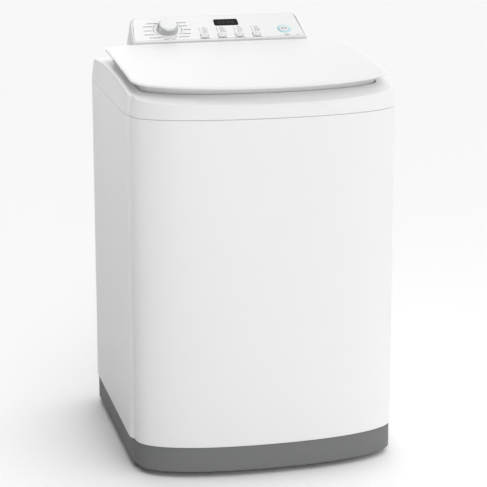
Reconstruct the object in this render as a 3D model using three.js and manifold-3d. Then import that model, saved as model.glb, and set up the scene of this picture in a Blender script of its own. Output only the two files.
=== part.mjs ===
// A top load washing machine, in millimetres: +Z up, origin at the middle of the footprint on the floor,
// the bowed front faces -Y and the control console stands at the rear.
import * as THREE from "three";
import { mergeVertices } from "three/addons/utils/BufferGeometryUtils.js";
import Module from "manifold-3d";

const wasm = await Module();
wasm.setup();

// ---------------------------------------------------------------- driving dimensions
const HALF_WIDTH = 280;
const FRONT_Y = -286; // the middle of the bowed front
const SHOULDER_Y = -169; // where the bow meets the flat sides
const REAR_Y = 286;
const REAR_CORNER = 45;
const BODY_BOW = { across: 2.2, out: 2.4 }; // the front is a superellipse arc with these two powers
const BODY_EDGE = { inwards: 8, forwards: 20 }; // a soft upright edge between each side and the bow
const LID_BOW = { across: 2.05, out: 2.2 }; // the lid and its recess have rounder front corners
const GAP = 0.4; // between pieces that touch

const PLINTH_BOTTOM = 12;
const CABINET_BOTTOM = 65;
const SEAM_Z = 740.5; // where the cabinet meets the top cover
const SHEET = 2; // cabinet steel
const MOULD = 3; // plastic walls

const LEDGE_Z = 770; // floor of the recess that the lid closes on
const HINGE_Y = 180;
const HINGE_Z = 806;
const PIN_RADIUS = 4;

const FACE_FOOT = { y: 202, z: 825.5 }; // lower edge of the sloping console face
const FACE_TOP = { y: 285, z: 867.5 };
const FACE_ANGLE = Math.atan2(FACE_TOP.z - FACE_FOOT.z, FACE_TOP.y - FACE_FOOT.y);
const FACE_LENGTH = Math.hypot(FACE_TOP.z - FACE_FOOT.z, FACE_TOP.y - FACE_FOOT.y);
const FASCIA = 3;

const TUB_RADIUS = 250;
const TUB_FLOOR = 270;
const TUB_TOP = 700;
const BASKET_RADIUS = 232;
const BASKET_FLOOR = 288;
const BASKET_TOP = 645;
const ROD = { x: 234, front: -194, rear: 232, top: 722, bottom: 232, radius: 4 };
const LUG_Z = 330;

const BELT_Z = 129; // middle of the belt
const MOTOR = { x: -150, y: 105 };
const DRIVE_GROOVE = 69; // groove radii of the two pulleys
const MOTOR_GROOVE = 18;

// ---------------------------------------------------------------- materials
const finish = (color, roughness, metalness = 0) =>
  new THREE.MeshStandardMaterial({ color, roughness, metalness });
const WHITE_ENAMEL = finish(0xf1f2f2, 0.35);
const WHITE_PLASTIC = finish(0xf2f3f3, 0.42);
const GREY_PLASTIC = finish(0x6f7271, 0.6);
const FASCIA_WHITE = finish(0xf6f7f7, 0.3);
const KNOB_SILVER = finish(0xb4b6b8, 0.35, 0.6);
const DISPLAY_BLACK = finish(0x0b0b0c, 0.12);
const RING_BLUE = finish(0x8ed6e2, 0.35);
const STAINLESS = finish(0xb9bbbd, 0.3, 0.9);
const ZINC_STEEL = finish(0x9da1a5, 0.45, 0.8);
const CAST_METAL = finish(0x8b8e91, 0.55, 0.7);
const TUB_PLASTIC = finish(0xdfe3e6, 0.5);
const AGITATOR_PLASTIC = finish(0xe9edf2, 0.38);
const FILTER_BLUE = finish(0x7fb4d6, 0.45);
const BLACK_RUBBER = finish(0x1c1c1d, 0.85);
const BOARD_GREEN = finish(0x2f6b45, 0.6);
const INLET_RED = finish(0xb23a3a, 0.5);
const INLET_BLUE = finish(0x3a63b2, 0.5);

const machine = new THREE.Group();

// ---------------------------------------------------------------- helpers
function addPart(name, geometry, material, group = machine) {
  const mesh = new THREE.Mesh(geometry, material);
  mesh.name = name;
  group.add(mesh);
  return mesh;
}

// A closed geometry as a manifold solid, and back again.
function toSolid(geometry) {
  const bare = geometry.clone();
  bare.deleteAttribute("normal");
  bare.deleteAttribute("uv");
  const merged = mergeVertices(bare, 1e-3);
  const triangles = [];
  for (let i = 0; i < merged.index.count; i += 3) {
    const [a, b, c] = [0, 1, 2].map((k) => merged.index.getX(i + k));
    if (a !== b && b !== c && c !== a) triangles.push(a, b, c); // a turned solid has empty ones on its axis
  }
  return new wasm.Manifold(
    new wasm.Mesh({
      numProp: 3,
      vertProperties: merged.attributes.position.array,
      triVerts: new Uint32Array(triangles),
    }),
  );
}

function toGeometry(solid) {
  const mesh = solid.getMesh();
  const geometry = new THREE.BufferGeometry();
  geometry.setAttribute("position", new THREE.BufferAttribute(new Float32Array(mesh.vertProperties), 3));
  geometry.setIndex(new THREE.BufferAttribute(new Uint32Array(mesh.triVerts), 1));
  return geometry;
}

const join = (first, ...others) =>
  toGeometry(others.reduce((sum, g) => sum.add(toSolid(g)), toSolid(first)));
const cut = (first, ...others) =>
  toGeometry(others.reduce((rest, g) => rest.subtract(toSolid(g)), toSolid(first)));

// A box between two corners.
function box(low, high) {
  const size = high.map((v, i) => v - low[i]);
  const middle = high.map((v, i) => (v + low[i]) / 2);
  return new THREE.BoxGeometry(...size).translate(...middle);
}

// An upright cylinder, or one along +Y, from its lower end.
const rod = (radius, x, y, low, high, sides = 16) =>
  new THREE.CylinderGeometry(radius, radius, high - low, sides)
    .rotateX(Math.PI / 2)
    .translate(x, y, (low + high) / 2);
const rodAlongY = (radius, x, z, near, far, sides = 16) =>
  new THREE.CylinderGeometry(radius, radius, far - near, sides).translate(x, (near + far) / 2, z);
const rodAlongX = (radius, y, z, left, right, sides = 16) =>
  new THREE.CylinderGeometry(radius, radius, right - left, sides)
    .rotateZ(Math.PI / 2)
    .translate((left + right) / 2, y, z);

// A solid turned about Z from a closed profile of [radius, z] points, listed anticlockwise.
function turned(profile, sides = 36) {
  const closed = [...profile, profile[0]].map(([r, z]) => new THREE.Vector2(Math.max(r, 0), z));
  return new THREE.LatheGeometry(closed, sides).rotateX(Math.PI / 2);
}

function extruded(points, low, high, holes = []) {
  const shape = new THREE.Shape(points.map(([x, y]) => new THREE.Vector2(x, y)));
  shape.holes = holes.map((hole) => new THREE.Path(hole.map(([x, y]) => new THREE.Vector2(x, y))));
  return new THREE.ExtrudeGeometry(shape, { depth: high - low, bevelEnabled: false }).translate(0, 0, low);
}

// The plan outline that the cabinet, plinth, top cover and lid share: a bowed front between two flat sides
// and a straight rear with round corners, anticlockwise from the left shoulder. All loops have as many points.
const FRONT_STEPS = 22;
const EDGE_STEPS = 3;
const SIDE_STEPS = 4;
const CORNER_STEPS = 3;
const REAR_STEPS = 4;
function frontArc(half, front, shoulder, bow) {
  const points = [];
  for (let i = 0; i <= FRONT_STEPS; i++) {
    const share = (1 - Math.cos((Math.PI * i) / FRONT_STEPS)) / 2; // points crowd towards both shoulders
    const turn = Math.PI * share;
    const across = Math.sign(Math.cos(turn)) * Math.abs(Math.cos(turn)) ** (2 / bow.across);
    const out = i % FRONT_STEPS === 0 ? 0 : Math.sin(turn) ** (2 / bow.out);
    points.push([-half * across, shoulder - (shoulder - front) * out]);
  }
  return points;
}

// A point on the soft edge, from the crease where the bow ends (0) to the flat side (1).
const edgePoint = (half, shoulder, edge, share) => [
  half - edge.inwards * (1 - share) ** 2,
  shoulder - edge.forwards * (1 - share),
];

function planLoop({ half, front, shoulder, rear, corner, bow, edge }) {
  const points = frontArc(half - edge.inwards, front, shoulder - edge.forwards, bow);
  for (let i = 1; i <= EDGE_STEPS; i++) points.push(edgePoint(half, shoulder, edge, i / EDGE_STEPS));
  for (let i = 1; i <= SIDE_STEPS; i++)
    points.push([half, shoulder + ((rear - corner - shoulder) * i) / SIDE_STEPS]);
  for (let i = 1; i <= CORNER_STEPS; i++) {
    const turn = (Math.PI / 2) * (i / CORNER_STEPS);
    points.push([half - corner + corner * Math.cos(turn), rear - corner + corner * Math.sin(turn)]);
  }
  for (let i = 1; i < REAR_STEPS; i++) points.push([(half - corner) * (1 - (2 * i) / REAR_STEPS), rear]);
  for (let i = 0; i < CORNER_STEPS; i++) {
    const turn = (Math.PI / 2) * (1 + i / CORNER_STEPS);
    points.push([-half + corner + corner * Math.cos(turn), rear - corner + corner * Math.sin(turn)]);
  }
  for (let i = 0; i < SIDE_STEPS; i++)
    points.push([-half, rear - corner - ((rear - corner - shoulder) * i) / SIDE_STEPS]);
  for (let i = EDGE_STEPS; i > 0; i--) {
    const [x, y] = edgePoint(half, shoulder, edge, i / EDGE_STEPS);
    points.push([-x, y]);
  }
  return points;
}

// The cabinet outline moved inwards by inset all round.
const bodyLoop = (inset) =>
  planLoop({
    half: HALF_WIDTH - inset,
    front: FRONT_Y + inset,
    shoulder: SHOULDER_Y,
    rear: REAR_Y - inset,
    corner: Math.max(REAR_CORNER - inset, 2),
    bow: BODY_BOW,
    edge: BODY_EDGE,
  });

// Gives every point of a plan loop its height, a number or a function of x and y.
const atHeight = (loop, z) => loop.map(([x, y]) => [x, y, typeof z === "function" ? z(x, y) : z]);

// A solid skinned over loops of equally many points: from each to the next, and then from the last to the
// first (a ring), or to a point in the middle of the first and the last (a lump or a dish).
function skinned(loops, capped = false) {
  const count = loops[0].length;
  const position = loops.flat(2);
  const index = [];
  const last = capped ? loops.length - 1 : loops.length;
  for (let k = 0; k < last; k++)
    for (let i = 0; i < count; i++) {
      const a = k * count + i;
      const b = k * count + ((i + 1) % count);
      const c = ((k + 1) % loops.length) * count + ((i + 1) % count);
      const d = ((k + 1) % loops.length) * count + i;
      index.push(a, b, c, a, c, d);
    }
  if (capped)
    for (const [k, turnedOver] of [[0, true], [loops.length - 1, false]]) {
      const middle = position.length / 3;
      const sum = loops[k].reduce((s, p) => s.map((v, i) => v + p[i] / count), [0, 0, 0]);
      position.push(...sum);
      for (let i = 0; i < count; i++) {
        const a = k * count + i;
        const b = k * count + ((i + 1) % count);
        index.push(...(turnedOver ? [b, a, middle] : [a, b, middle]));
      }
    }
  const geometry = new THREE.BufferGeometry();
  geometry.setAttribute("position", new THREE.BufferAttribute(new Float32Array(position), 3));
  geometry.setIndex(index);
  return geometry;
}

// ---------------------------------------------------------------- crowned surfaces of the top
const CROWN_Y = 48;
const CROWN_TOP = 795.3;
const rimZ = (x, y) => CROWN_TOP - (y - CROWN_Y) ** 2 / 4000;
const LID_TOP = 824; // at the rear edge; it falls towards the front and a little towards the sides
const lidZ = (x, y) => LID_TOP - 0.02 * (201 - y) - (201 - y) ** 2 / 15100 - 1.2 * (x / 264) ** 4;

// Height of the deck where it meets the lid: level with the rim behind, a finger channel beside and in front.
const CHANNEL = [[-241, 784], [-160, 784], [-99, 785.5], [-53, 787], [-6, 789.5], [66, 794], [151, 792.5]];
function channelZ(x, y) {
  if (y >= CHANNEL.at(-1)[0]) return rimZ(x, y);
  const i = Math.max(CHANNEL.findIndex(([at]) => at > y), 1);
  const [y0, z0] = CHANNEL[i - 1];
  const [y1, z1] = CHANNEL[i];
  return z0 + ((z1 - z0) * (Math.max(y, y0) - y0)) / (y1 - y0);
}

// ---------------------------------------------------------------- cabinet, plinth and feet
function cabinetShell() {
  const flange = 22; // each rear edge turns in behind the rear panel
  const outer = bodyLoop(0);
  const inner = bodyLoop(SHEET);
  const count = outer.length;
  const leftRearCorner = count - EDGE_STEPS - SIDE_STEPS - CORNER_STEPS;
  const rightRearCorner = FRONT_STEPS + EDGE_STEPS + SIDE_STEPS + CORNER_STEPS;
  const order = [];
  for (let i = leftRearCorner; i <= rightRearCorner + count; i++) order.push(i % count);
  const edge = HALF_WIDTH - REAR_CORNER - flange;
  const outside = [[-edge, REAR_Y], ...order.map((i) => outer[i]), [edge, REAR_Y]];
  const inside = [[-edge, REAR_Y - SHEET], ...order.map((i) => inner[i]), [edge, REAR_Y - SHEET]];
  return extruded([...outside, ...inside.reverse()], CABINET_BOTTOM, SEAM_Z);
}

const PANEL_HALF = HALF_WIDTH - REAR_CORNER - 6;
const VALVES = { hot: 160, cold: 104 };
const VALVE_Z = 696;
const OUTLET = { x: -150, z: 640 };
const GLAND = { x: -190, z: 130 };
function rearPanel() {
  const y = REAR_Y - SHEET - GAP;
  const plate = box([-PANEL_HALF, y - SHEET, CABINET_BOTTOM + 2], [PANEL_HALF, y, SEAM_Z - 4]);
  const swage = box([-130, y - 6, 230], [130, y - 1, 560]); // a pressed stiffening field
  const hollow = box([-127, y - 4, 233], [127, y + 1, 557]);
  const holes = [
    ...Object.values(VALVES).map((x) => rodAlongY(13, x, VALVE_Z, y - 9, y + 9, 24)),
    rodAlongY(10.5, GLAND.x, GLAND.z, y - 9, y + 9, 24),
    rodAlongY(17.5, OUTLET.x, OUTLET.z, y - 9, y + 9, 24),
  ];
  return cut(join(plate, swage), hollow, ...holes);
}

const FEET = {
  front_left: [-222, -182],
  front_right: [222, -182],
  rear_left: [-226, 226],
  rear_right: [226, 226],
};
const BOSS_BOTTOM = 15;
function basePlinth() {
  const top = CABINET_BOTTOM - GAP;
  const ring = skinned([
    atHeight(bodyLoop(4), PLINTH_BOTTOM),
    atHeight(bodyLoop(2.5), PLINTH_BOTTOM + 2),
    atHeight(bodyLoop(2.5), top),
    atHeight(bodyLoop(70), top),
    atHeight(bodyLoop(70), top - 14),
    atHeight(bodyLoop(6), top - 14),
    atHeight(bodyLoop(6), PLINTH_BOTTOM),
  ]);
  const bosses = Object.values(FEET).map(([x, y]) => rod(17, x, y, BOSS_BOTTOM, top - 8, 20));
  const bores = Object.values(FEET).map(([x, y]) => rod(5.5, x, y, 0, 90));
  return cut(join(ring, ...bosses), ...bores);
}

function levellingFoot([x, y]) {
  const profile = [[0, 0], [17, 0], [19, 2.5], [19, 7], [12, 11], [12, 13.5], [5, 13.5], [5, 74], [0, 74]];
  return turned(profile, 14).translate(x, y, 0);
}

// ---------------------------------------------------------------- top cover with its opening
const PLAIN = { inwards: 0.4, forwards: 2 }; // the lid and the openings have next to no soft edge
const RECESS = { half: 246, front: -241, shoulder: -148, rear: 196, corner: 14, bow: LID_BOW, edge: PLAIN };
const OPENING = { half: 196, front: -196, shoulder: -112, rear: 128, corner: 60, bow: LID_BOW, edge: PLAIN };
const HINGE_POST = { inner: 229, outer: 238, radius: 7 };
const STRIKER_SLOT = { left: 196.5, right: 206, front: -82, rear: -44 };
const grown = (outline, by) => ({
  ...outline,
  half: outline.half + by,
  front: outline.front - by,
  rear: outline.rear + by,
  corner: Math.max(outline.corner + by, 2),
});

function topCover() {
  const seam = SEAM_Z + GAP;
  const lipZ = 736;
  const loops = [
    atHeight(bodyLoop(0), seam),
    atHeight(bodyLoop(0.6), seam + 14),
    atHeight(bodyLoop(4.5), (x, y) => rimZ(x, y) - 2.5),
    atHeight(bodyLoop(7), (x, y) => rimZ(x, y)),
    atHeight(bodyLoop(13), (x, y) => rimZ(x, y) + 0.5),
    atHeight(planLoop(RECESS), channelZ),
    atHeight(planLoop(grown(RECESS, -2)), LEDGE_Z),
    atHeight(planLoop(grown(OPENING, 6)), LEDGE_Z),
    atHeight(planLoop(OPENING), LEDGE_Z - 6),
    atHeight(planLoop(OPENING), lipZ),
    atHeight(planLoop(grown(OPENING, MOULD)), lipZ),
    atHeight(planLoop(grown(OPENING, MOULD + 6)), LEDGE_Z - MOULD - 3),
    atHeight(planLoop(grown(RECESS, 1)), LEDGE_Z - MOULD),
    atHeight(planLoop(grown(RECESS, 3)), (x, y) => channelZ(x, y) - MOULD),
    atHeight(bodyLoop(13), (x, y) => rimZ(x, y) - MOULD - 1),
    atHeight(bodyLoop(7.6), (x, y) => rimZ(x, y) - MOULD - 3),
    atHeight(bodyLoop(MOULD + 0.6), seam + 14),
    atHeight(bodyLoop(MOULD), seam),
  ];
  const posts = [];
  const bores = [];
  for (const side of [-1, 1]) {
    const [left, right] = [side * HINGE_POST.inner, side * HINGE_POST.outer].sort((a, b) => a - b);
    const { radius } = HINGE_POST;
    posts.push(box([left, HINGE_Y - radius, LEDGE_Z - 1], [right, HINGE_Y + radius, HINGE_Z]));
    posts.push(rodAlongX(radius, HINGE_Y, HINGE_Z, left, right, 24));
    bores.push(rodAlongX(PIN_RADIUS + 0.4, HINGE_Y, HINGE_Z, left - 1, right + 1, 24));
  }
  const { left, right, front, rear } = STRIKER_SLOT;
  const slot = box([left, front, 740], [right, rear, LEDGE_Z + 1]);
  return cut(join(skinned(loops), ...posts), ...bores, slot);
}

// ---------------------------------------------------------------- lid
const LID = { half: 264, front: -262, shoulder: -154, rear: 188, corner: 42, bow: LID_BOW, edge: PLAIN };
const SKIRT = { half: 243, front: -238, shoulder: -145, rear: 170, corner: 24, bow: LID_BOW, edge: PLAIN };
const FLARE = { ...SKIRT, half: 252, front: -252 }; // the pan spreads to this under the lid
const LID_SHEET = 3.5;
const KNUCKLE = { inner: 214, outer: 227, radius: 7 };
const scaled = (outline, share) => ({
  ...outline,
  half: outline.half * share,
  front: outline.front * share,
  shoulder: outline.shoulder * share,
  rear: outline.rear * share,
  corner: outline.corner * share,
});

function lidOuter() {
  const below = (by) => (x, y) => lidZ(x, y) - by;
  const panel = skinned(
    [
      atHeight(planLoop(scaled(LID, 0.5)), below(LID_SHEET)),
      atHeight(planLoop(scaled(LID, 0.92)), below(LID_SHEET)),
      atHeight(planLoop(grown(LID, -1)), below(4.5)),
      atHeight(planLoop(LID), below(2.5)),
      atHeight(planLoop(grown(LID, -2.5)), below(0.3)),
      atHeight(planLoop(scaled(LID, 0.92)), below(0)),
      atHeight(planLoop(scaled(LID, 0.5)), below(0)),
    ],
    true,
  );
  const knuckles = [];
  const bores = [];
  for (const side of [-1, 1]) {
    const [left, right] = [side * KNUCKLE.inner, side * KNUCKLE.outer].sort((a, b) => a - b);
    const { radius } = KNUCKLE;
    knuckles.push(box([left, HINGE_Y - radius, HINGE_Z], [right, HINGE_Y + radius, 820]));
    knuckles.push(rodAlongX(radius, HINGE_Y, HINGE_Z, left, right, 24));
    bores.push(rodAlongX(PIN_RADIUS + 0.4, HINGE_Y, HINGE_Z, left - 1, right + 1, 24));
  }
  return cut(join(panel, ...knuckles), ...bores);
}

const STRIKER = { left: 198, right: 201, front: -70, rear: -50, bottom: 748, holeLow: 751, holeHigh: 758 };
function lidInner() {
  const floor = 774;
  const under = (x, y) => lidZ(x, y) - LID_SHEET - 1.4;
  const pan = skinned(
    [
      atHeight(planLoop(scaled(SKIRT, 0.5)), floor),
      atHeight(planLoop(grown(SKIRT, -5)), floor),
      atHeight(planLoop(grown(SKIRT, -2)), floor + 3),
      atHeight(planLoop(SKIRT), (x, y) => channelZ(x, y) + 1),
      atHeight(planLoop(FLARE), under),
      atHeight(planLoop(grown(FLARE, -3)), under),
      atHeight(planLoop(grown(SKIRT, -3.2)), (x, y) => channelZ(x, y) + 2),
      atHeight(planLoop(grown(SKIRT, -5)), floor + MOULD + 1),
      atHeight(planLoop(scaled(SKIRT, 0.5)), floor + MOULD),
    ],
    true,
  );
  const { left, right, front, rear, bottom, holeLow, holeHigh } = STRIKER;
  const blade = box([left, front, bottom], [right, rear, floor + 2]);
  const hole = box([left - 1, front + 4, holeLow], [right + 1, rear - 4, holeHigh]);
  return cut(join(pan, blade), hole);
}

const hingePin = (side) => {
  const [left, right] = [side * (KNUCKLE.inner - 1), side * (HINGE_POST.outer + 1)].sort((a, b) => a - b);
  return rodAlongX(PIN_RADIUS, HINGE_Y, HINGE_Z, left, right, 24);
};

// ---------------------------------------------------------------- lid lock
const BOLT = { y: -60, z: 754.5, radius: 2.5, near: 205, far: 230 };
function lidLock() {
  const body = box([209, -88, 742], [240, -32, 763]);
  const bore = rodAlongX(BOLT.radius + 0.4, BOLT.y, BOLT.z, 200, 238, 20);
  return cut(body, bore);
}

// ---------------------------------------------------------------- console
const CONSOLE_HALF = 200.5; // at the deck; the side walls lean in above it
const CONSOLE_LEAN = 0.16;
const CONSOLE_FOOT = 789;
const deckZ = (y) => rimZ(0, Math.min(y, 273)) + 1.4;
const faceZ = (y) => FACE_FOOT.z + (y - FACE_FOOT.y) * Math.tan(FACE_ANGLE);

function consoleLoop(inset, height) {
  const half = CONSOLE_HALF - inset;
  const [front, rear] = [FACE_FOOT.y + inset, REAR_Y - 1 - inset];
  const points = [];
  for (const [sx, sy] of [[1, -1], [1, 1], [-1, 1], [-1, -1]]) {
    const radius = Math.max((sy < 0 ? 5 : 14) - inset, 2);
    const [cx, cy] = [sx * (half - radius), sy < 0 ? front + radius : rear - radius];
    const first = Math.atan2(sy, sx) - Math.PI / 4;
    for (let i = 0; i <= 4; i++) {
      const turn = first + (Math.PI / 8) * i;
      const y = cy + radius * Math.sin(turn);
      const z = height(y);
      points.push([cx + radius * Math.cos(turn) - sx * CONSOLE_LEAN * (z - CONSOLE_FOOT), y, z]);
    }
  }
  return points;
}

// From coordinates on the sloping face (across, up the slope, out of it) to the machine's own.
const onFace = (geometry) => geometry.rotateX(FACE_ANGLE).translate(0, FACE_FOOT.y, FACE_FOOT.z);

// Four corners, anticlockwise from the lower left, each replaced by an arc: the lower two and the upper two.
function roundedCorners(corners, lower, upper = lower) {
  const points = [];
  corners.forEach(([x, y], i) => {
    const radius = i < 2 ? lower : upper;
    const centreX = i === 0 || i === 3 ? x + radius : x - radius;
    const centreY = i < 2 ? y + radius : y - radius;
    for (let k = 0; k <= 4; k++) {
      const angle = -Math.PI + (Math.PI / 2) * i + (Math.PI / 8) * k;
      points.push([centreX + radius * Math.cos(angle), centreY + radius * Math.sin(angle)]);
    }
  });
  return points;
}

const roundedBox = (x, y, halfWidth, halfHeight, radius) =>
  roundedCorners(
    [
      [x - halfWidth, y - halfHeight],
      [x + halfWidth, y - halfHeight],
      [x + halfWidth, y + halfHeight],
      [x - halfWidth, y + halfHeight],
    ],
    radius,
  );

// The four-sided outline of the face, moved inwards by inset.
function faceOutline(inset, lower, upper) {
  const low = CONSOLE_HALF - CONSOLE_LEAN * (FACE_FOOT.z - CONSOLE_FOOT) - inset;
  const high = CONSOLE_HALF - CONSOLE_LEAN * (FACE_TOP.z - CONSOLE_FOOT) - inset;
  const far = FACE_LENGTH - inset;
  return roundedCorners([[-low, inset], [low, inset], [high, far], [-high, far]], lower, upper);
}

function consoleHousing() {
  const outside = skinned(
    [
      consoleLoop(0, deckZ),
      consoleLoop(0, (y) => faceZ(y) - 4),
      consoleLoop(1.2, (y) => faceZ(y) - 1.2),
      consoleLoop(4, faceZ),
    ],
    true,
  );
  const hollow = [consoleLoop(MOULD, (y) => deckZ(y) - 9), consoleLoop(MOULD, (y) => faceZ(y) - 10)];
  const recess = onFace(extruded(faceOutline(3.4, 3, 13), -FASCIA - GAP, 6));
  const window = onFace(extruded(faceOutline(7.2, 3, 8), -16, 6));
  return cut(outside, skinned(hollow, true), recess, window);
}

const KNOB = { x: -112, y: 43, skirt: 23.6, cap: 21 };
const DISPLAY = { x: 23, y: 63.5, width: 54, height: 24, corner: 4 };
const OPTION_BUTTONS = { temperature: -34, water_level: 5, wash_option: 44, spin_speed: 83 };
const OPTION = { y: 16, halfWidth: 8.6, halfHeight: 8 };
const START = { x: 149, y: 31.5, radius: 11.6, ringInner: 12, ringOuter: 14.6 };

const oval = (x, y, halfWidth, halfHeight, low, high, sides = 24) =>
  new THREE.CylinderGeometry(1, 1, high - low, sides)
    .rotateX(Math.PI / 2)
    .scale(halfWidth, halfHeight, 1)
    .translate(x, y, (low + high) / 2);

function consoleFascia() {
  const plate = extruded(faceOutline(4.4, 2.5, 12), -FASCIA, 0);
  const { x, y, width, height, corner } = DISPLAY;
  const hole = { halfWidth: OPTION.halfWidth + 0.4, halfHeight: OPTION.halfHeight + 0.4 };
  const cuts = [
    rod(4, KNOB.x, KNOB.y, -9, 9, 20),
    extruded(roundedBox(x, y, width / 2 + 0.3, height / 2 + 0.3, corner + 0.3), -1.5, 2),
    ...Object.values(OPTION_BUTTONS).map((at) => oval(at, OPTION.y, hole.halfWidth, hole.halfHeight, -9, 9)),
    rod(START.ringInner, START.x, START.y, -9, 9, 32),
    rod(START.ringOuter + 0.3, START.x, START.y, -1.5, 2, 32),
  ];
  return onFace(cut(plate, ...cuts));
}

function optionButton(at) {
  const head = oval(at, OPTION.y, OPTION.halfWidth, OPTION.halfHeight, -4, 1.8);
  return onFace(join(head, rod(3, at, OPTION.y, -9, -3, 12)));
}

function startRing() {
  const { x, y, ringInner, ringOuter } = START;
  const profile = [[ringInner + 0.1, -1.2], [ringOuter, -1.2], [ringOuter, 0.4], [ringInner + 0.1, 0.8]];
  return onFace(turned(profile, 32).translate(x, y, 0));
}

function startButton() {
  const { x, y, radius } = START;
  const profile = [[0, -9], [3, -9], [3, -4], [radius, -4], [radius, 1], [radius - 1, 1.8], [0, 1.5]];
  return onFace(turned(profile, 32).translate(x, y, 0));
}

// The dial: a silver skirt on its shaft, and a cap with a raised pointer.
function knobSkirt() {
  const { x, y, skirt, cap } = KNOB;
  const shaft = [[0, 10], [0, -10], [3.5, -10], [3.5, 1]];
  const flare = [[skirt, 1], [skirt, 2.5], [cap + 0.8, 12], [cap - 1, 12.4], [cap - 1, 10]];
  return onFace(turned([...shaft, ...flare], 48).translate(x, y, 0));
}

function knobCap() {
  const { x, y, cap } = KNOB;
  const disc = turned([[0, 10.4], [cap - 1.5, 10.4], [cap - 1.5, 14.5], [cap - 3, 16], [0, 16.4]], 48);
  const pointer = box([-1.4, cap - 5, 12.8], [1.4, cap + 0.6, 16.6]); // a small nub on the rim
  return onFace(join(disc, pointer).translate(x, y, 0));
}

const displayWindow = () => {
  const { x, y, width, height, corner } = DISPLAY;
  return onFace(extruded(roundedBox(x, y, width / 2, height / 2, corner), -1.2, 0.4));
};

function controlBoard() {
  const board = box([-60, 14, -15], [170, 78, -13]);
  const corners = [[-56, 18], [166, 18], [-56, 74], [166, 74]];
  const posts = corners.map(([x, y]) => rod(2.5, x, y, -14, -FASCIA - GAP, 10));
  return onFace(join(board, ...posts));
}

// ---------------------------------------------------------------- fittings in the rear panel
const PANEL_FACE = REAR_Y - SHEET - GAP; // the outer face of the rear panel
function inletValve(x) {
  const body = box([x - 18, 232, VALVE_Z - 20], [x + 18, PANEL_FACE - 6, VALVE_Z + 20]);
  const coil = rod(12, x, 247, VALVE_Z - 42, VALVE_Z - 19, 20);
  const port = rodAlongY(12, x, VALVE_Z, PANEL_FACE - 7, REAR_Y, 24);
  const bore = rodAlongY(8.5, x, VALVE_Z, PANEL_FACE - 20, REAR_Y + 1, 20);
  return cut(join(body, coil, port), bore);
}

// A bush through the rear panel with a flange outside.
function panelBush({ x, z }, radius, bore, reach) {
  const neck = rodAlongY(radius, x, z, REAR_Y - reach, PANEL_FACE + 1, 24);
  const flange = rodAlongY(radius + 4, x, z, PANEL_FACE + GAP, REAR_Y, 24);
  return cut(join(neck, flange), rodAlongY(bore, x, z, REAR_Y - reach - 1, REAR_Y + 1, 20));
}

// ---------------------------------------------------------------- tub on its four spring rods
const TUB_Y = -12;
const RODS = {
  front_left: [-ROD.x, ROD.front],
  front_right: [ROD.x, ROD.front],
  rear_left: [-ROD.x, ROD.rear],
  rear_right: [ROD.x, ROD.rear],
};
const aboutTub = (geometry) => geometry.translate(0, TUB_Y, 0);
const turnedAboutTub = (profile, sides = 40) => aboutTub(turned(profile, sides));

function tub() {
  const r = TUB_RADIUS;
  const wall = aboutTub(
    turned(
      [
        [23, TUB_FLOOR],
        [r - 4, TUB_FLOOR],
        [r, TUB_FLOOR + 4],
        [r, TUB_TOP],
        [r - MOULD, TUB_TOP],
        [r - MOULD, TUB_FLOOR + 5],
        [r - 5, TUB_FLOOR + MOULD],
        [23, TUB_FLOOR + MOULD],
      ],
      40,
    ),
  );
  const lugs = [];
  const holes = [];
  for (const [x, y] of Object.values(RODS)) {
    const reach = Math.hypot(x, y - TUB_Y);
    const lug = box([r - 2, -14, LUG_Z - 8], [reach + 13, 14, LUG_Z]);
    lugs.push(aboutTub(lug.rotateZ(Math.atan2(y - TUB_Y, x))));
    holes.push(rod(ROD.radius + 1.5, x, y, LUG_Z - 20, LUG_Z + 20, 16));
  }
  const ribs = [[100, 104], [180, 184]].map(([inner, outer]) =>
    aboutTub(turned([[inner, 262.6], [outer, 262.6], [outer, TUB_FLOOR + 1], [inner, TUB_FLOOR + 1]], 40)),
  );
  return cut(join(wall, ...lugs, ...ribs), ...holes);
}

const tubRing = () => {
  const r = TUB_RADIUS;
  return turnedAboutTub(
    [
      [208, TUB_TOP + 5],
      [r + GAP, TUB_TOP + GAP],
      [r + GAP, TUB_TOP - 12],
      [r + 3, TUB_TOP - 12],
      [r + 3, TUB_TOP + 3],
      [208, TUB_TOP + 8],
    ],
    40,
  );
};

function suspensionRod([x, y]) {
  const { radius, top, bottom } = ROD;
  const profile = [[0, bottom], [13, bottom], [13, bottom + 4], [radius, bottom + 4], [radius, top - 5.5]];
  return turned([...profile, [8, top - 5.5], [8, top], [5, top + 3], [0, top + 3]], 10).translate(x, y, 0);
}

const SPRING = { low: 236.5, high: LUG_Z - 8.5, coil: 9, wire: 1.8, turns: 4 };
function suspensionSpring([x, y]) {
  const { low, high, coil, wire, turns } = SPRING;
  const steps = turns * 9;
  const loops = [];
  for (let i = 0; i <= steps; i++) {
    const turn = (2 * Math.PI * turns * i) / steps;
    const z = low + wire + (high - low - 2 * wire) * (i / steps);
    loops.push(
      [0, 1, 2, 3].map((side) => {
        const around = (-Math.PI / 2) * side;
        const reach = coil + wire * Math.cos(around);
        return [x + reach * Math.cos(turn), y + reach * Math.sin(turn), z + wire * Math.sin(around)];
      }),
    );
  }
  return skinned(loops, true);
}

function rodBracket([x, y]) {
  const side = Math.sign(x);
  const wallX = y < 0 ? 264 : 274;
  const xs = (near, far) => [side * near, side * far].sort((a, b) => a - b);
  const [left, right] = xs(ROD.x - 15, wallX);
  const [wallLeft, wallRight] = xs(wallX - 2.5, wallX);
  const shelf = box([left, y - 16, ROD.top - 9], [right, y + 16, ROD.top - 6]);
  const back = box([wallLeft, y - 16, ROD.top - 40], [wallRight, y + 16, ROD.top + 8]);
  return cut(join(shelf, back), rod(ROD.radius + 0.6, x, y, ROD.top - 20, ROD.top));
}

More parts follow.
